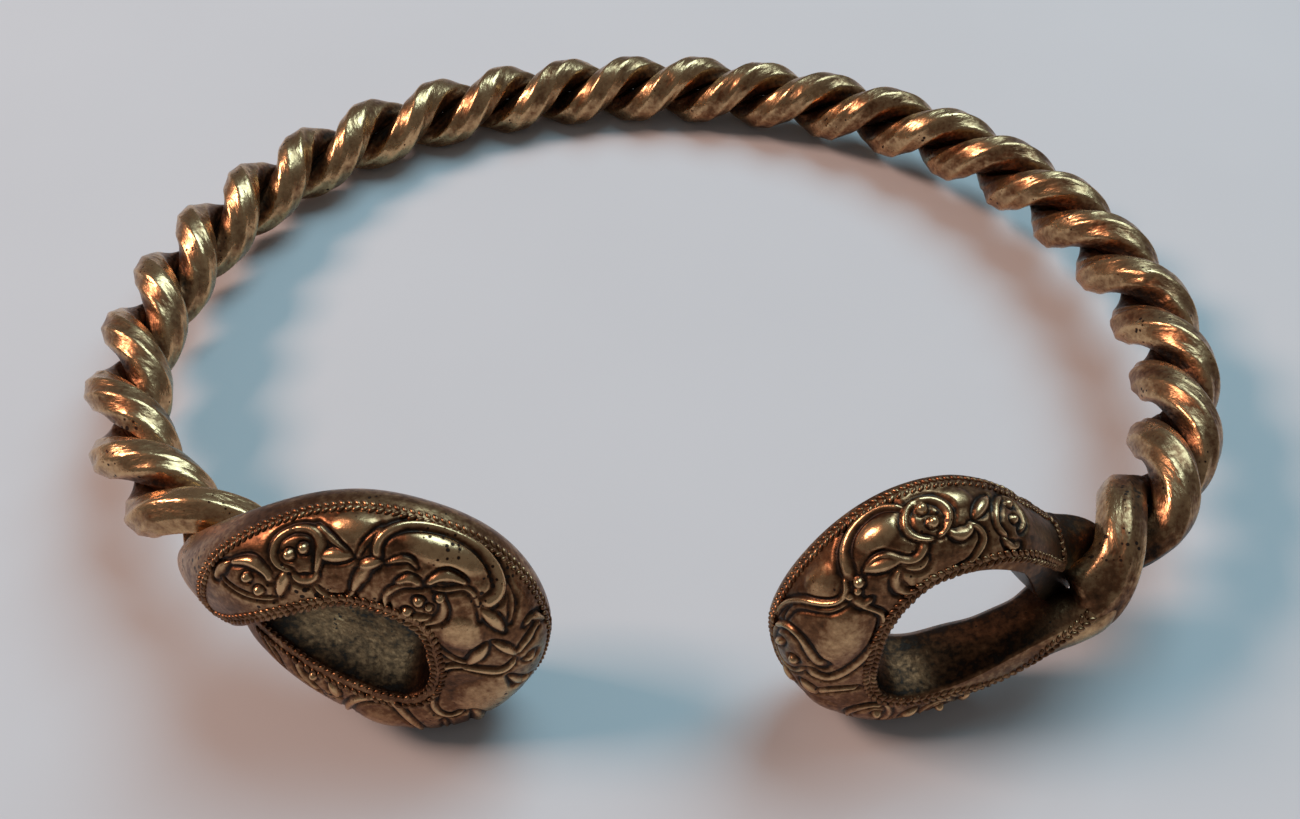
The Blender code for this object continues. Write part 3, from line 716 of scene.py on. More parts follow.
RIGHT_SCROLLS = {
    "ridges": (
        (((74.3, 0.16), (73.2, 0.22), (72.5, 0.33), (72.4, 0.44), (73.1, 0.54), (74.4, 0.6)),
         (0.5, 0.55, 0.3), 0.8),
        (((74.3, 0.16), (75.9, 0.19), (76.9, 0.29), (77.0, 0.4), (76.4, 0.51), (75.3, 0.59)),
         (0.5, 0.7, 0.3), 0.8),
        (((65.1, 0.44), (65.8, 0.31), (66.7, 0.2), (68.2, 0.11), (70.2, 0.07), (71.7, 0.09), (72.9, 0.17)),
         (0.9, 0.7, 0.4), 0.8),
        (((66.5, 0.54), (67.6, 0.5), (68.9, 0.5), (69.8, 0.56), (70.5, 0.65), (71.4, 0.71), (72.5, 0.7),
          (73.3, 0.63)), (0.3, 0.5, 0.6), 0.7),
        (((70.4, 0.73), (71.0, 0.78), (72.2, 0.8), (73.2, 0.74)), (0.2, 0.7, 0.2), 0.6),
        (((76.6, 0.57), (77.0, 0.61), (78.0, 0.63), (79.0, 0.6), (79.3, 0.54)), (0.4, 0.9, 0.4), 0.8),
        (((84.6, 0.14), (83.6, 0.24), (83.0, 0.4), (83.1, 0.53), (84.3, 0.63)), (0.4, 0.5, 0.3), 0.7),
        (((84.6, 0.14), (86.2, 0.15), (87.0, 0.26), (87.0, 0.4), (86.2, 0.53)), (0.4, 0.5, 0.3), 0.7),
        (((84.0, 0.67), (84.7, 0.72), (85.6, 0.75), (86.3, 0.7)), (0.3, 0.6, 0.4), 0.7),
        (((79.3, 0.52), (80.5, 0.57), (81.2, 0.67), (81.0, 0.78), (80.2, 0.88), (79.0, 0.93), (77.5, 0.95)),
         (0.3, 0.5, 0.3), 0.7),
        (((69.6, 0.72), (68.4, 0.78), (67.8, 0.86), (68.3, 0.94), (70.0, 0.97)), (0.3, 0.8, 0.3), 0.7),
        (((63.2, 0.66), (63.0, 0.73), (64.4, 0.76)), (0.8, 0.7, 0.3), 0.7),
        (((62.7, 0.72), (63.0, 0.83), (62.5, 0.92), (60.0, 0.96), (56.5, 0.965), (53.0, 0.93),
          (50.3, 0.87), (48.4, 0.78), (47.9, 0.68), (48.7, 0.57)), (0.4, 0.5, 0.8), 0.8),
        (((53.6, 0.06), (56.0, 0.1), (57.6, 0.18), (58.8, 0.29), (59.7, 0.41), (60.7, 0.51), (62.0, 0.56),
          (63.4, 0.53), (64.4, 0.45)), (0.3, 0.5, 0.35), 0.8),
        (((55.0, 0.2), (57.0, 0.23), (58.2, 0.33), (59.0, 0.45), (60.0, 0.56), (61.8, 0.62)),
         (0.3, 0.4, 0.3), 0.5),
        (((53.0, 0.12), (54.1, 0.2), (54.6, 0.31), (54.3, 0.43), (53.2, 0.52), (51.8, 0.6), (51.1, 0.66)),
         (0.4, 0.6, 0.9), 0.8),
        (((52.8, 0.12), (50.5, 0.08), (48.2, 0.12), (47.2, 0.25), (47.6, 0.4), (48.8, 0.5)),
         (0.4, 0.5, 0.3), 0.6),
        (((43.8, 0.58), (44.5, 0.74), (44.3, 0.9)), (0.5, 0.5, 0.3), 0.7),
        (((36.3, 0.48), (37.3, 0.63), (37.2, 0.77), (36.1, 0.87), (34.6, 0.9)), (0.3, 0.6, 0.3), 0.7),
        (((33.0, 0.58), (32.7, 0.74), (33.2, 0.87), (34.4, 0.93)), (0.3, 0.5, 0.3), 0.6),
        (((12.5, 0.5), (13.5, 0.62), (15.0, 0.72), (17.0, 0.76), (19.0, 0.72), (20.0, 0.62)),
         (0.3, 0.5, 0.3), 0.6),
        (((21.5, 0.45), (23.0, 0.6), (23.6, 0.74), (25.3, 0.84), (27.3, 0.8), (28.3, 0.68), (28.0, 0.55)),
         (0.3, 0.5, 0.3), 0.6),
        (((9.0, 0.6), (10.5, 0.72), (12.0, 0.8)), (0.2, 0.4, 0.2), 0.5),
    ),
    "buds": (
        ((66.7, 0.52), (70.3, 0.65), 0.95), ((79.9, 0.46), (82.6, 0.18), 0.85),
        ((43.2, 0.55), (46.0, 0.44), 0.9), ((44.0, 0.3), (46.4, 0.2), 0.7),
        ((50.5, 0.15), (52.2, 0.27), 0.7), ((20.5, 0.75), (22.5, 0.6), 0.7),
        ((29.0, 0.85), (31.0, 0.72), 0.7),
    ),
    "pellets": (
        (74.5, 0.26, 0.85), (75.0, 0.43, 0.85), (85.3, 0.21, 0.65), (85.4, 0.4, 0.65), (65.2, 0.57, 0.8),
        (64.2, 0.62, 0.6), (62.9, 0.6, 0.55), (50.2, 0.4, 0.8), (34.3, 0.77, 0.7), (25.5, 0.66, 0.8),
    ),
    "bosses": (
        ((69.9, 0.3), (2.9, 0.19), 0.98), ((56.2, 0.73), (6.6, 0.21), 0.95),
        ((62.0, 0.28), (3.2, 0.22), 0.7), ((78.5, 0.22), (2.6, 0.17), 0.7),
        ((40.0, 0.45), (3.2, 0.26), 0.7),
    ),
    "rim_cord": (
        (5.0, 0.05), (12.0, 0.04), (25.0, 0.035), (40.0, 0.03), (55.0, 0.03), (70.0, 0.03), (84.0, 0.03),
        (92.0, 0.03), (97.5, 0.03), (99.6, 0.05), (100.2, 0.11), (99.4, 0.22), (98.9, 0.35), (99.4, 0.48),
        (100.8, 0.6),
    ),
    "rim_rows": ((0, 0.9), (96, 1.0), (99, 0.7), (101, 0.4)),
    "hole_cord": (
        (1.0, 0.97), (2.5, 0.95), (5.0, 0.9), (8.0, 0.8), (12.9, 0.67), (17.7, 0.79), (22.9, 0.92),
        (28.0, 0.96), (34.0, 0.97), (45.0, 0.975), (60.0, 0.975), (72.0, 0.97), (79.0, 0.96),
        (82.0, 0.935), (85.3, 0.87), (88.0, 0.81), (91.0, 0.75), (95.0, 0.68), (100.5, 0.635),
    ),
    "hole_rows": ((0, 1.0), (30, 1.0), (50, 1.1), (80, 1.0), (92, 0.8), (100, 0.5)),
    # As bright as the rod at the start, and painted darker towards the tip, as shade.
    "wear_and_painted_light": ((0, 0.25), (2, 0.25), (9, 0.0), (85, 0.0), (92, -0.15), (99, -0.3), (114, -0.3)),
}
SCROLLS = {"left": LEFT_SCROLLS, "right": RIGHT_SCROLLS}
FLOOR_DEPTH = 0.45 * MM
RIDGE_HEIGHT = 0.82 * MM
STROKE_WIDTH = 1.25
STROKE_TAPER = 0.8 * MM
BLUNTNESS = 0.45
BUD_WIDTH = 1.15
BUD_HEIGHT = 1.05
BUD_STEPS = 24
PELLET_HEIGHT = 1.35
GROUND_SWELL = 0.38 * MM
PANEL_EDGE = 0.6 * MM
RIM_EASE = 0.05
HOLE_EASE = 0.04
END_EASE = 1.0

# How full the crests are: 1 is a plain arch, less is fuller.
STROKE_CREST = 1.15
BUD_CREST = 0.8
PELLET_CREST = 0.5
BOSS_CREST = 0.75

# How far round a stroke the skin is looked at, and a width of face that turns this into a share.
REGION_MARGIN = 2.0 * MM
REGION_WIDTH = 12.0 * MM


class Face:
    """A bare loop's face, how high the relief stands on it, and how far off the nearest stroke is."""

    def __init__(self, points, rows, shares):
        self.points = points
        self.rows = rows
        self.shares = shares
        self.heights = np.zeros(points.shape[:2])
        self.clearance = np.full(points.shape[:2], REGION_MARGIN)

    def line(self, course):
        """The course of a stroke, given in millimetres along and share across, as points on the face."""
        return read_grid(self.points, self.rows / MM, self.shares, *course.T)

    def lift(self, course, half, height, crest):
        """Raises the face near a course to a rounded crest, as the highest of itself and what is there."""
        margin = half.max() + REGION_MARGIN
        margins = np.array((-margin, margin))
        ends = np.array((course.min(axis=0), course.max(axis=0)))
        near_rows = slice(*np.searchsorted(self.rows, ends[:, 0] * MM + margins))
        near_shares = slice(*np.searchsorted(self.shares, ends[:, 1] + margins / REGION_WIDTH))
        patch = self.points[near_rows, near_shares, None]
        gap = np.linalg.norm(patch - self.line(course), axis=-1)
        rise = (height * np.clip(1.0 - (gap / half) ** 2, 0.0, 1.0) ** crest).max(axis=-1)
        near = self.heights[near_rows, near_shares]
        np.maximum(near, rise, out=near)
        near = self.clearance[near_rows, near_shares]
        np.minimum(near, (gap - half).min(axis=-1), out=near)


def lay_ridge(face, plan, relief_height):
    """Raises one stroke of the scrollwork, tapered at its ends."""
    places, halves, height = plan
    course = smooth_line(np.arange(len(places)), places, 12 * len(places))
    step = line_lengths(face.line(course))
    half = np.interp(step / step[-1], (0.0, 0.5, 1.0), np.array(halves) * MM * STROKE_WIDTH)
    taper = np.minimum(1.0, np.minimum(step, step[-1] - step) / STROKE_TAPER + BLUNTNESS)
    face.lift(course, half, taper * height * relief_height, STROKE_CREST)


def lay_bud(face, plan, relief_height):
    """Raises a leaf-shaped bud, pointed at both ends."""
    start, end, half_width = plan
    swell = np.sin(np.linspace(0.06, 0.94, BUD_STEPS) * math.pi)
    half = half_width * MM * BUD_WIDTH * swell**0.8
    height = relief_height * BUD_HEIGHT * np.sqrt(swell)
    face.lift(np.linspace(start, end, BUD_STEPS), half, height, BUD_CREST)


def lay_pellet(face, plan):
    """Raises a round pellet."""
    half = np.array([plan[2] * MM])
    face.lift(np.array([plan[:2]]), half, PELLET_HEIGHT * half, PELLET_CREST)


def lay_boss(panels, face, plan):
    """Raises a broad smooth boss, the swelling that the scrolls run round."""
    place, halves, height = plan
    along = (face.rows[:, None] / MM - place[0]) / halves[0]
    across = (face.shares[None] - place[1]) / halves[1]
    rise = height * MM * np.clip(1.0 - (along**2 + across**2), 0.0, 1.0) ** BOSS_CREST
    np.maximum(panels, rise, out=panels)


def soften(values, times):
    """Values evened out with their neighbours round and along the bar, many times over."""
    for _ in range(times):
        values = (values + np.roll(values, 1, axis=1) + np.roll(values, -1, axis=1)) / 3.0
        padded = np.concatenate([values[:1], values, values[-1:]])
        values = (padded[:-2] + padded[1:-1] + padded[2:]) / 3.0
    return values


def relief(points, rows, shares, plan, relief_height):
    """How far the finished face stands off the bare one, column by column across the whole bar."""
    face = Face(points[:, : len(shares)], rows, shares)
    for ridge in plan["ridges"]:
        lay_ridge(face, ridge, relief_height)
    for bud in plan["buds"]:
        lay_bud(face, bud, relief_height)
    for pellet in plan["pellets"]:
        lay_pellet(face, pellet)
    panels = np.full_like(face.heights, GROUND_SWELL)
    for boss in plan["bosses"]:
        lay_boss(panels, face, boss)
    heights = np.maximum(face.heights, panels * smoothstep(0.0, PANEL_EDGE, face.clearance))
    along = rows / MM
    edge, inner = (np.interp(along, *np.array(plan[cord]).T)[:, None] for cord in ("rim_cord", "hole_cord"))
    inside = smoothstep(0.0, RIM_EASE, shares[None] - edge) * smoothstep(0.0, HOLE_EASE, inner - shares[None])
    first, last = plan["rim_cord"][0][0], plan["rim_cord"][-1][0]
    ends = smoothstep(-END_EASE, END_EASE, along - first) * smoothstep(-END_EASE, END_EASE, last - along)
    whole = np.zeros(points.shape[:2])
    whole[:, : len(shares)] = (heights - FLOOR_DEPTH) * (inside * ends[:, None])
    return whole


# Crests are rubbed bright, and hollows are painted dark as dirt and as shade: the level follows how far a
# point stands off its softened surroundings, and a little how high these stand, as rubbing and painted sheen.
# On the wall of the hole it is painted darker as shade, with a painted sheen along its middle.
SOFTENINGS = 14
FULL_RUB = 0.6 * MM
LOOP_WEAR = 0.36
CREST_WEAR = 1.0
HOLLOW_DIRT_AND_SHADE = 0.7
SWELL_RUB_AND_SHEEN = 0.30
GROUND_DEPTH = 0.14 * MM
WALL_PAINTED_SHADE = 0.36
WALL_PAINTED_SHEEN = 0.21


def loop_rings(name, relief_height):
    """Rings of points along one finished loop, its level of wear and painted light at each point, and its
    place in the bar.
    """
    points, rows, shares, outline = loop_surface(LOOPS[name])
    offset = relief(points, rows, shares, SCROLLS[name], relief_height)
    normals = surface_normals(points)
    rings = laid_down(points + offset[..., None] * normals)
    rings[..., 2] = np.maximum(rings[..., 2], 0.0)
    broad = soften(offset, SOFTENINGS)
    sharp = (offset - broad) / FULL_RUB
    where, rubbed = np.array(SCROLLS[name]["wear_and_painted_light"]).T
    # Stretches painted brighter or darker: rubbing, painted sheen and painted shade.
    wear_and_painted_light = LOOP_WEAR + np.interp(rows / MM, where, rubbed)[:, None]
    # Hollows are painted dark as dirt and as shade; crests are bright as rubbing.
    wear_and_painted_light = wear_and_painted_light + np.where(sharp < 0.0, HOLLOW_DIRT_AND_SHADE, CREST_WEAR) * sharp
    # Swellings are painted brighter, as rubbing and as painted sheen.
    wear_and_painted_light += SWELL_RUB_AND_SHEEN * np.clip((broad + GROUND_DEPTH) / FULL_RUB, 0.0, 1.0)
    wall = slice(len(shares), len(shares) + WALL_COLUMNS - 1)
    across = np.arange(1, WALL_COLUMNS) / WALL_COLUMNS
    # The wall of the hole is painted darker as shade, with a painted sheen along its middle.
    wear_and_painted_light[:, wall] -= WALL_PAINTED_SHADE - WALL_PAINTED_SHEEN * np.sin(math.pi * across**0.8)
    along = np.broadcast_to(rows[:, None, None], outline.shape[:2] + (1,))
    return rings, np.clip(wear_and_painted_light, 0.0, 1.0), np.concatenate([along, outline], axis=-1)


# ---------------------------------------------------------------------------------------------------
# The beaded cords, and a helper for node trees.


def add_node(tree, kind, inputs=(), **settings):
    """Adds a node, sets its properties, and sets its inputs or links them to other nodes' outputs.

    A setting is a property, or else an input, with underscores for the spaces in its name.
    """
    node = tree.nodes.new(kind)
    for name, value in settings.items():
        if hasattr(node, name):
            setattr(node, name, value)
        else:
            node.inputs[name.replace("_", " ")].default_value = value
    for socket, source in dict(inputs).items():
        if isinstance(source, bpy.types.NodeSocket):
            tree.links.new(source, node.inputs[socket])
        else:
            node.inputs[socket].default_value = source
    return node


# Each cord is two rows of beads that slant towards each other: which course it follows, how far apart
# the rows are, which side of the course a row is on, and its slant in radians. The spacing of a course's
# places counts a step of one millimetre along and a step of one share across by these amounts.
CORD_ROWS = (
    ("rim_cord", "rim_rows", -1.0, 0.75),
    ("rim_cord", "rim_rows", 1.0, -0.75),
    ("hole_cord", "hole_rows", -1.0, 0.75),
    ("hole_cord", "hole_rows", 1.0, -0.75),
)
CORD_SPACING = (1.0, 8.0)
CORD_STEPS = 360
CORD_WEAR = 0.44
CORD_SUNK = 0.05 * MM
CORD_CLEAR = 0.45 * MM


def cord_tree():
    """Geometry Nodes: a row of slanting beads along a line, as on a filed cord."""
    tree = bpy.data.node_groups.new("beaded_cord", "GeometryNodeTree")
    face = tree.interface
    for label, kind in (
        ("Geometry", "Geometry"), ("Bead Length", "Float"), ("Bead Width", "Float"), ("Pitch", "Float"),
        ("Slant", "Float"), ("Seed", "Int"), ("Material", "Material"),
    ):
        face.new_socket(label, in_out="INPUT", socket_type="NodeSocket" + kind)
    face.new_socket("Geometry", in_out="OUTPUT", socket_type="NodeSocketGeometry")
    given = add_node(tree, "NodeGroupInput").outputs
    curve = add_node(tree, "GeometryNodeMeshToCurve", {0: given["Geometry"]})
    spaced = add_node(
        tree, "GeometryNodeResampleCurve", {"Curve": curve.outputs[0], "Length": given["Pitch"]},
        mode="LENGTH",
    )
    ball = add_node(tree, "GeometryNodeMeshUVSphere", Segments=8, Rings=5, Radius=0.5)
    out = add_node(tree, "GeometryNodeInputNamedAttribute", data_type="FLOAT_VECTOR", Name="out")
    ahead = add_node(tree, "GeometryNodeInputTangent")
    facing = add_node(
        tree, "FunctionNodeAxesToRotation", {0: out.outputs[0], 1: ahead.outputs[0]},
        primary_axis="Z", secondary_axis="X",
    )
    lean = add_node(tree, "ShaderNodeCombineXYZ", {"Z": given["Slant"]})
    turn = add_node(tree, "FunctionNodeEulerToRotation", {0: lean.outputs[0]})
    slanted = add_node(
        tree, "FunctionNodeRotateRotation", {0: facing.outputs[0], 1: turn.outputs[0]}, rotation_space="LOCAL"
    )
    uneven = add_node(
        tree, "FunctionNodeRandomValue", {"Seed": given["Seed"]}, data_type="FLOAT", Min=0.85, Max=1.1
    )
    size = add_node(
        tree, "ShaderNodeCombineXYZ",
        {"X": given["Bead Length"], "Y": given["Bead Width"], "Z": given["Bead Width"]},
    )
    scaled = add_node(
        tree, "ShaderNodeVectorMath", {0: size.outputs[0], "Scale": uneven.outputs[1]}, operation="SCALE"
    )
    beads = add_node(
        tree, "GeometryNodeInstanceOnPoints",
        {"Points": spaced.outputs[0], "Instance": ball.outputs[0], "Rotation": slanted.outputs[0],
         "Scale": scaled.outputs[0]},
    )
    real = add_node(tree, "GeometryNodeRealizeInstances", {0: beads.outputs[0]})
    worn = add_node(
        tree, "GeometryNodeStoreNamedAttribute", {"Geometry": real.outputs[0]},
        data_type="FLOAT", domain="POINT", Name="wear_and_painted_light", Value=CORD_WEAR,
    )
    smooth = add_node(tree, "GeometryNodeSetShadeSmooth", {0: worn.outputs[0]})
    made = add_node(
        tree, "GeometryNodeSetMaterial", {"Geometry": smooth.outputs[0], "Material": given["Material"]}
    )
    add_node(tree, "NodeGroupOutput", {0: made.outputs[0]})
    return tree


def cord_line(name, course, apart, side_sign):
    """One row of a cord: points just under a loop's face, and the directions out of the face there."""
    points, rows, shares, _ = loop_surface(LOOPS[name])
    normals = surface_normals(points)[:, : len(shares)]
    places = np.array(SCROLLS[name][course])
    steps = np.abs(np.diff(places, axis=0)) @ CORD_SPACING
    smooth = smooth_line(np.concatenate([[0.0], np.cumsum(steps)]), places, CORD_STEPS)
    line = read_grid(points[:, : len(shares)], rows / MM, shares, *smooth.T)
    out = unit(read_grid(normals, rows / MM, shares, *smooth.T))
    side = unit(np.cross(out, np.gradient(line, axis=0)))
    turned = laid_down(out) - laid_down(np.zeros(3))
    where, gap = np.array(SCROLLS[name][apart]).T
    beside = 0.5 * side_sign * np.interp(smooth[:, 0], where, gap)[:, None] * MM
    line = laid_down(line + beside * side - CORD_SUNK * out)
    line[:, 2] = np.maximum(line[:, 2], CORD_CLEAR)
    return line, turned


def bead_cords(name, sizes, material):
    """All beaded cords of one loop as one mesh: two rows round the rim and two round the hole."""
    tree = cord_tree()
    sockets = {item.name: item.identifier for item in tree.interface.items_tree if item.in_out == "INPUT"}
    meshes = []
    for number, (course, apart, side_sign, slant) in enumerate(CORD_ROWS):
        line, out = cord_line(name, course, apart, side_sign)
        path = bpy.data.meshes.new("cord_path")
        path.from_pydata(line, [(k, k + 1) for k in range(len(line) - 1)], [])
        layer = path.attributes.new("out", "FLOAT_VECTOR", "POINT")
        layer.data.foreach_set("vector", out.astype(np.float32).ravel())
        guide = bpy.data.objects.new("cord_path", path)
        bpy.context.scene.collection.objects.link(guide)
        nodes = guide.modifiers.new("beads", "NODES")
        nodes.node_group = tree
        for label, value in (
            ("Bead Length", sizes.bead_length), ("Bead Width", sizes.bead_width), ("Pitch", sizes.bead_pitch),
            ("Slant", slant), ("Seed", number), ("Material", material),
        ):
            nodes[sockets[label]] = value
        guide.update_tag()
        seen = guide.evaluated_get(bpy.context.evaluated_depsgraph_get())
        meshes.append(bpy.data.meshes.new_from_object(seen))
        bpy.data.objects.remove(guide)
        bpy.data.meshes.remove(path)
    shape = bmesh.new()
    for mesh in meshes:
        shape.from_mesh(mesh)
        bpy.data.meshes.remove(mesh)
    joined = bpy.data.meshes.new("beaded_cords_" + name)
    shape.to_mesh(joined)
    shape.free()
    joined.shade_smooth()
    bpy.data.node_groups.remove(tree)
    return joined


# ---------------------------------------------------------------------------------------------------
# Materials.


# Real sizes of the metal's patterns: clouds of tarnish, fine specks, and the spacing of casting pits. The
# clouds and specks spread the level of wear and painted light by this much and shift it down.
PATCH_SIZE = 7.0 * MM
SPECK_SIZE = 0.9 * MM
PIT_SPACING = 0.95 * MM
PIT_RAGGEDNESS = 0.25
PIT_DARKNESS = 5.0
TARNISH_SPREAD = 0.75
TARNISH_SHIFT = -0.76

# The two ways the surface was made: how rough it is in hollows and on crests, and the size, height and
# stretch along the piece of its marks.
HAMMERED = {"roughness": (0.5, 0.24), "mark_size": 1.5 * MM, "mark_height": 0.26 * MM, "stretch": 0.6}
CAST = {"roughness": (0.42, 0.25), "mark_size": 0.9 * MM, "mark_height": 0.07 * MM, "stretch": 1.0}


def gold_alloy(name, colours, roughness, mark_size, mark_height, stretch):
    """Old gold with a little silver and copper: polished by wear on the crests, brown below with dirt and
    painted shade.

    The eye gets a bright metal whose reflections break up over small dents and dull down in hollows.
    """
    material = bpy.data.materials.new(name)
    material.use_nodes = True
    tree = material.node_tree
    shader = tree.nodes["Principled BSDF"]
    place = add_node(tree, "ShaderNodeTexCoord").outputs["Object"]
    grain = add_node(tree, "ShaderNodeAttribute", attribute_name="grain").outputs["Vector"]
    wear_and_painted_light = add_node(tree, "ShaderNodeAttribute", attribute_name="wear_and_painted_light").outputs["Fac"]
    patches, specks = (
        add_node(tree, "ShaderNodeTexNoise", {"Vector": place}, Scale=1 / size, Detail=detail, Roughness=0.6)
        for size, detail in ((PATCH_SIZE, 4.0), (SPECK_SIZE, 3.0))
    )
    stretched = add_node(tree, "ShaderNodeMapping", {"Vector": grain}, Scale=(stretch, 1.0, 1.0))
    marks = add_node(
        tree, "ShaderNodeTexNoise", {"Vector": stretched.outputs[0]},
        Scale=1 / mark_size, Detail=3.0, Roughness=0.55,
    )
    uneven = add_node(tree, "ShaderNodeMath", {0: patches.outputs[0], 1: specks.outputs[0]}, operation="ADD")
    shift = add_node(
        tree, "ShaderNodeMath", {0: uneven.outputs[0], 1: TARNISH_SPREAD, 2: TARNISH_SHIFT},
        operation="MULTIPLY_ADD",
    )
    cells = add_node(tree, "ShaderNodeTexVoronoi", {"Vector": place}, Scale=1 / PIT_SPACING)
    chosen = add_node(
        tree, "ShaderNodeMapRange", {0: patches.outputs[0]},
        From_Min=0.50, From_Max=0.72, To_Min=-0.12, To_Max=0.34,
    )
    ragged = add_node(
        tree, "ShaderNodeMath", {0: specks.outputs[0], 1: PIT_RAGGEDNESS, 2: chosen.outputs[0]},
        operation="MULTIPLY_ADD",
    )
    pit = add_node(
        tree, "ShaderNodeMath", {0: ragged.outputs[0], 1: cells.outputs["Distance"]}, operation="SUBTRACT"
    )
    dark = add_node(
        tree, "ShaderNodeMath", {0: pit.outputs[0], 1: PIT_DARKNESS}, operation="MULTIPLY", use_clamp=True
    )
    tinted = add_node(tree, "ShaderNodeMath", {0: shift.outputs[0], 1: dark.outputs[0]}, operation="SUBTRACT")
    level = add_node(tree, "ShaderNodeMath", {0: wear_and_painted_light, 1: tinted.outputs[0]}, operation="ADD", use_clamp=True)
    # The level of wear and painted light picks the colour: from dirt and painted shade up to rubbed metal and
    # painted sheen.
    ramp = add_node(tree, "ShaderNodeValToRGB", {0: level.outputs[0]})
    points = ramp.color_ramp.elements
    points.new(0.40)
    shades = (colours.hollow, colours.brown, colours.bright)
    for point, position, colour in zip(points, (0.08, 0.40, 0.85), shades):
        point.position = position
        point.color = (*colour, 1.0)
    dull = add_node(
        tree, "ShaderNodeMapRange", {0: level.outputs[0]},
        From_Min=0.1, From_Max=0.8, To_Min=roughness[0], To_Max=roughness[1],
    )
    metal = add_node(tree, "ShaderNodeMapRange", {0: level.outputs[0]}, From_Max=0.15, To_Min=0.8)
    bump = add_node(tree, "ShaderNodeBump", {"Height": marks.outputs[0]}, Strength=1.0, Distance=mark_height)
    for made, socket in ((ramp, "Base Color"), (dull, "Roughness"), (metal, "Metallic"), (bump, "Normal")):
        tree.links.new(made.outputs[0], shader.inputs[socket])
    return material


def rag_paper(colour):
    """Matt pale paper, with a faint cloudiness and grain."""
    material = bpy.data.materials.new("rag_paper")
    material.use_nodes = True
    tree = material.node_tree
    shader = tree.nodes["Principled BSDF"]
    place = add_node(tree, "ShaderNodeTexCoord").outputs["Object"]
    clouds = add_node(tree, "ShaderNodeTexNoise", {"Vector": place}, Scale=1 / (60.0 * MM), Detail=3.0)
    ramp = add_node(tree, "ShaderNodeValToRGB", {0: clouds.outputs[0]})
    ramp.color_ramp.elements[0].color = (*[0.94 * part for part in colour], 1.0)
    ramp.color_ramp.elements[1].color = (*colour, 1.0)
    tree.links.new(ramp.outputs[0], shader.inputs["Base Color"])
    shader.inputs["Roughness"].default_value = 0.9
    shader.inputs["Specular IOR Level"].default_value = 0.2
    return material


# ---------------------------------------------------------------------------------------------------
# The add-on.


class TorcSizes(bpy.types.PropertyGroup):
    """Sizes of the finish."""

    rod_radius: FloatProperty(
        name="Rod Radius", description="Radius of each twisted rod over its hammered edges",
        default=3.47 * MM, unit="LENGTH",
    )
    flat_depth: FloatProperty(
        name="Flat Depth", description="How deep the hammer flats go into the rods",
        default=0.40 * MM, unit="LENGTH",
    )
    relief_height: FloatProperty(
        name="Relief Height", description="How high the scrollwork stands above its ground",
        default=RIDGE_HEIGHT, unit="LENGTH",
    )
    bead_length: FloatProperty(
        name="Bead Length", description="Length of one slanting strand of a cord",
        default=1.42 * MM, unit="LENGTH",
    )
    bead_width: FloatProperty(
        name="Bead Width", description="Thickness of one slanting strand of a cord",
        default=0.74 * MM, unit="LENGTH",
    )
    bead_pitch: FloatProperty(
        name="Bead Pitch", description="Distance along a cord from one strand to the next",
        default=1.02 * MM, unit="LENGTH",
    )


class TorcColours(bpy.types.PropertyGroup):
    """Colours of the finish, from the dirt and painted shade in the hollows to the rubbed crests."""

    # The hollow colour also stands for painted shade in the rod crevices and on the wall of the hole.
    hollow: FloatVectorProperty(
        name="Hollow", description="Dirt and tarnish in the hollows",
        default=linear("#2a1e17"), subtype="COLOR", min=0.0, max=1.0,
    )
    brown: FloatVectorProperty(
        name="Brown", description="Tarnished metal between hollows and crests",
        default=linear("#744f36"), subtype="COLOR", min=0.0, max=1.0,
    )
    # The bright colour also stands for painted sheen on the swellings.
    bright: FloatVectorProperty(
        name="Bright", description="Metal rubbed clean on the crests",
        default=linear("#cba479"), subtype="COLOR", min=0.0, max=1.0,
    )
    paper: FloatVectorProperty(
        name="Paper", description="The sheet under the torc",
        default=linear("#cbcbcd"), subtype="COLOR", min=0.0, max=1.0,
    )


class TORC_OT_rods(bpy.types.Operator):
    """Makes the two hammered rods of the twist"""

    bl_idname = "torc.rods"
    bl_label = "Hammered Rods"

    def execute(self, context):
        sizes = context.scene.torc_sizes
        gold = gold_alloy("hammered_gold_alloy", context.scene.torc_colours, **HAMMERED)
        for number in (0, 1):
            rings, wear_and_painted_light, grain = rod_rings(number, sizes.rod_radius, sizes.flat_depth)
            name = f"hammered_rod_{number + 1}"
            mesh = tube_mesh(name, rings, {"wear_and_painted_light": wear_and_painted_light, "grain": grain})
            add_piece(name, mesh, gold, "hammered_gold", f"twisted_rod_{number + 1}")
        return {"FINISHED"}


class TORC_OT_loops(bpy.types.Operator):
    """Makes the two cast loops, with their scrollwork and beaded cords"""

    bl_idname = "torc.loops"
    bl_label = "Cast Loops"

    def execute(self, context):
        sizes = context.scene.torc_sizes
        gold = gold_alloy("cast_gold_alloy", context.scene.torc_colours, **CAST)
        for name in LOOPS:
            rings, wear_and_painted_light, grain = loop_rings(name, sizes.relief_height)
            mesh = tube_mesh("cast_loop_" + name, rings, {"wear_and_painted_light": wear_and_painted_light, "grain": grain})
            add_piece("cast_loop_" + name, mesh, gold, "cast_gold", "loop_terminal_" + name)
            cords = bead_cords(name, sizes, gold)
            add_piece("beaded_cords_" + name, cords, gold, "cast_gold")
        return {"FINISHED"}


CAMERA_PLACE = (-1.94 * MM, -159.98 * MM, 174.88 * MM)
CAMERA_TURN = (39.92, 0.97, -2.21)
LENS = 36.0
SENSOR_WIDTH = 36.0
SHEET_SIZE = 3.0
ROOM_LIGHT = 0.156

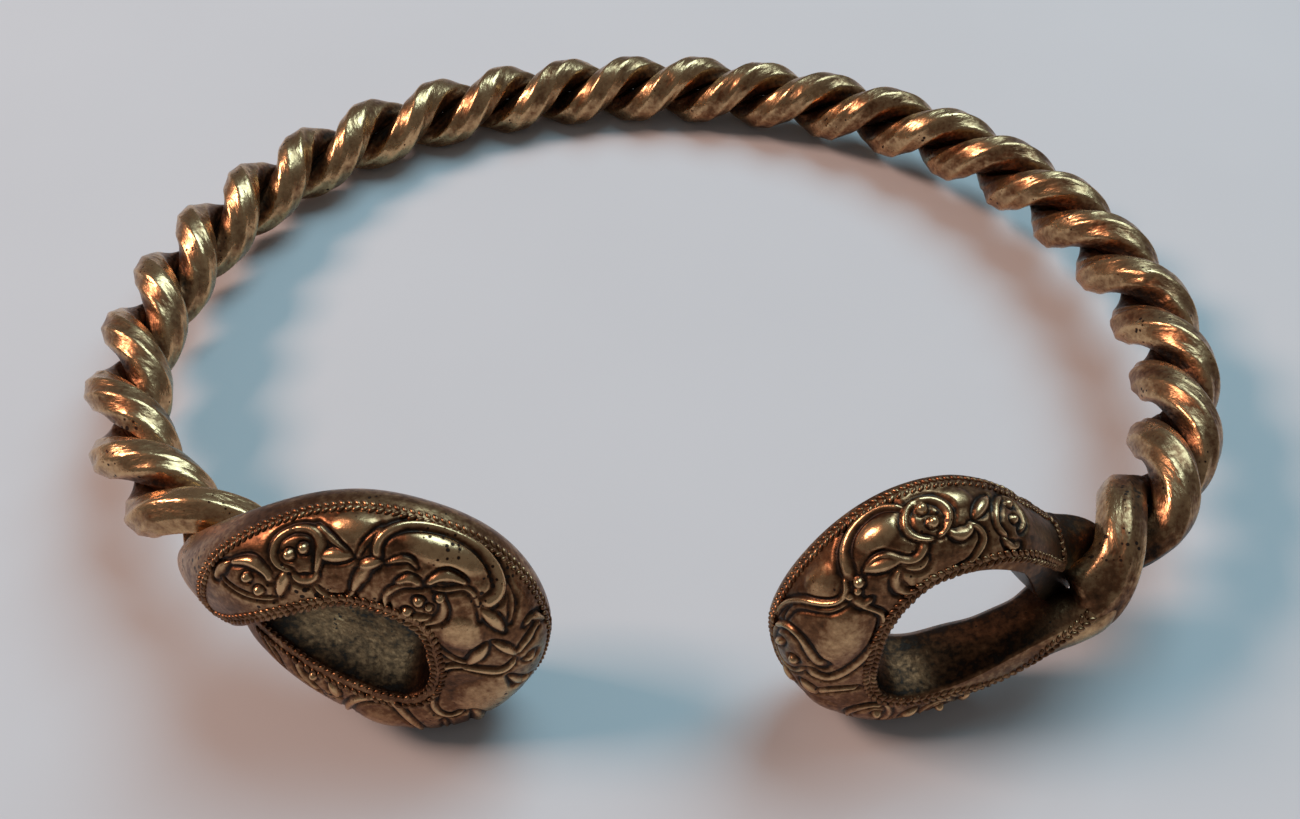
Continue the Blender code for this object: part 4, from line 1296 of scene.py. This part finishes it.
# A small warm lamp from the left and a broad cool window from the right: place, size, power and colour.
LIGHTS = {
    "warm_lamp": ((-2.20, 0.40, 2.12), 0.96, 67.6, "#ffd3c0"),
    "window": ((1.10, 1.44, 2.62), 2.08, 77.2, "#bcecff"),
}


def add_light(scene, name, place, size, power, colour):
    """One soft square light that looks at the middle of the torc."""
    lamp = bpy.data.lights.new(name, "AREA")
    lamp.size = size
    lamp.energy = power
    lamp.color = linear(colour)
    light = bpy.data.objects.new(name, lamp)
    light.location = place
    light.rotation_euler = Vector(place).to_track_quat("Z", "Y").to_euler()
    scene.collection.objects.link(light)


class TORC_OT_stage(bpy.types.Operator):
    """Sets the camera, the sheet under the torc and the soft lights"""

    bl_idname = "torc.stage"
    bl_label = "Stage"

    def execute(self, context):
        scene = context.scene
        bpy.ops.mesh.primitive_plane_add(size=SHEET_SIZE)
        sheet = context.object
        sheet.name = "paper_sheet"
        sheet.data.materials.append(rag_paper(scene.torc_colours.paper))
        lens = bpy.data.cameras.new("camera")
        lens.lens = LENS
        lens.sensor_width = SENSOR_WIDTH
        lens.clip_start = 0.01
        camera = bpy.data.objects.new("camera", lens)
        camera.location = CAMERA_PLACE
        camera.rotation_euler = Euler([math.radians(angle) for angle in CAMERA_TURN])
        scene.collection.objects.link(camera)
        scene.camera = camera
        for name, values in LIGHTS.items():
            add_light(scene, name, *values)
        world = bpy.data.worlds.new("room")
        world.use_nodes = True
        background = world.node_tree.nodes["Background"]
        background.inputs["Color"].default_value = (*linear("#ffffff"), 1.0)
        background.inputs["Strength"].default_value = ROOM_LIGHT
        scene.world = world
        scene.view_settings.view_transform = "Standard"
        return {"FINISHED"}


class TORC_PT_panel(bpy.types.Panel):
    """Lists the torc's operators, sizes and colours"""

    bl_label = "Gold Torc"
    bl_idname = "TORC_PT_panel"
    bl_space_type = "VIEW_3D"
    bl_region_type = "UI"
    bl_category = "Torc"

    def draw(self, context):
        layout = self.layout
        for group in (context.scene.torc_sizes, context.scene.torc_colours):
            for name in group.bl_rna.properties.keys():
                if name not in ("rna_type", "name"):
                    layout.prop(group, name)
        for operator in (TORC_OT_rods, TORC_OT_loops, TORC_OT_stage):
            layout.operator(operator.bl_idname)


CLASSES = (TorcSizes, TorcColours, TORC_OT_rods, TORC_OT_loops, TORC_OT_stage, TORC_PT_panel)


def register():
    for kind in CLASSES:
        bpy.utils.register_class(kind)
    bpy.types.Scene.torc_sizes = PointerProperty(type=TorcSizes)
    bpy.types.Scene.torc_colours = PointerProperty(type=TorcColours)


def unregister():
    del bpy.types.Scene.torc_sizes
    del bpy.types.Scene.torc_colours
    for kind in reversed(CLASSES):
        bpy.utils.unregister_class(kind)


def main():
    register()
    bpy.ops.torc.rods()
    bpy.ops.torc.loops()
    bpy.ops.torc.stage()


if __name__ == "__main__":
    main()
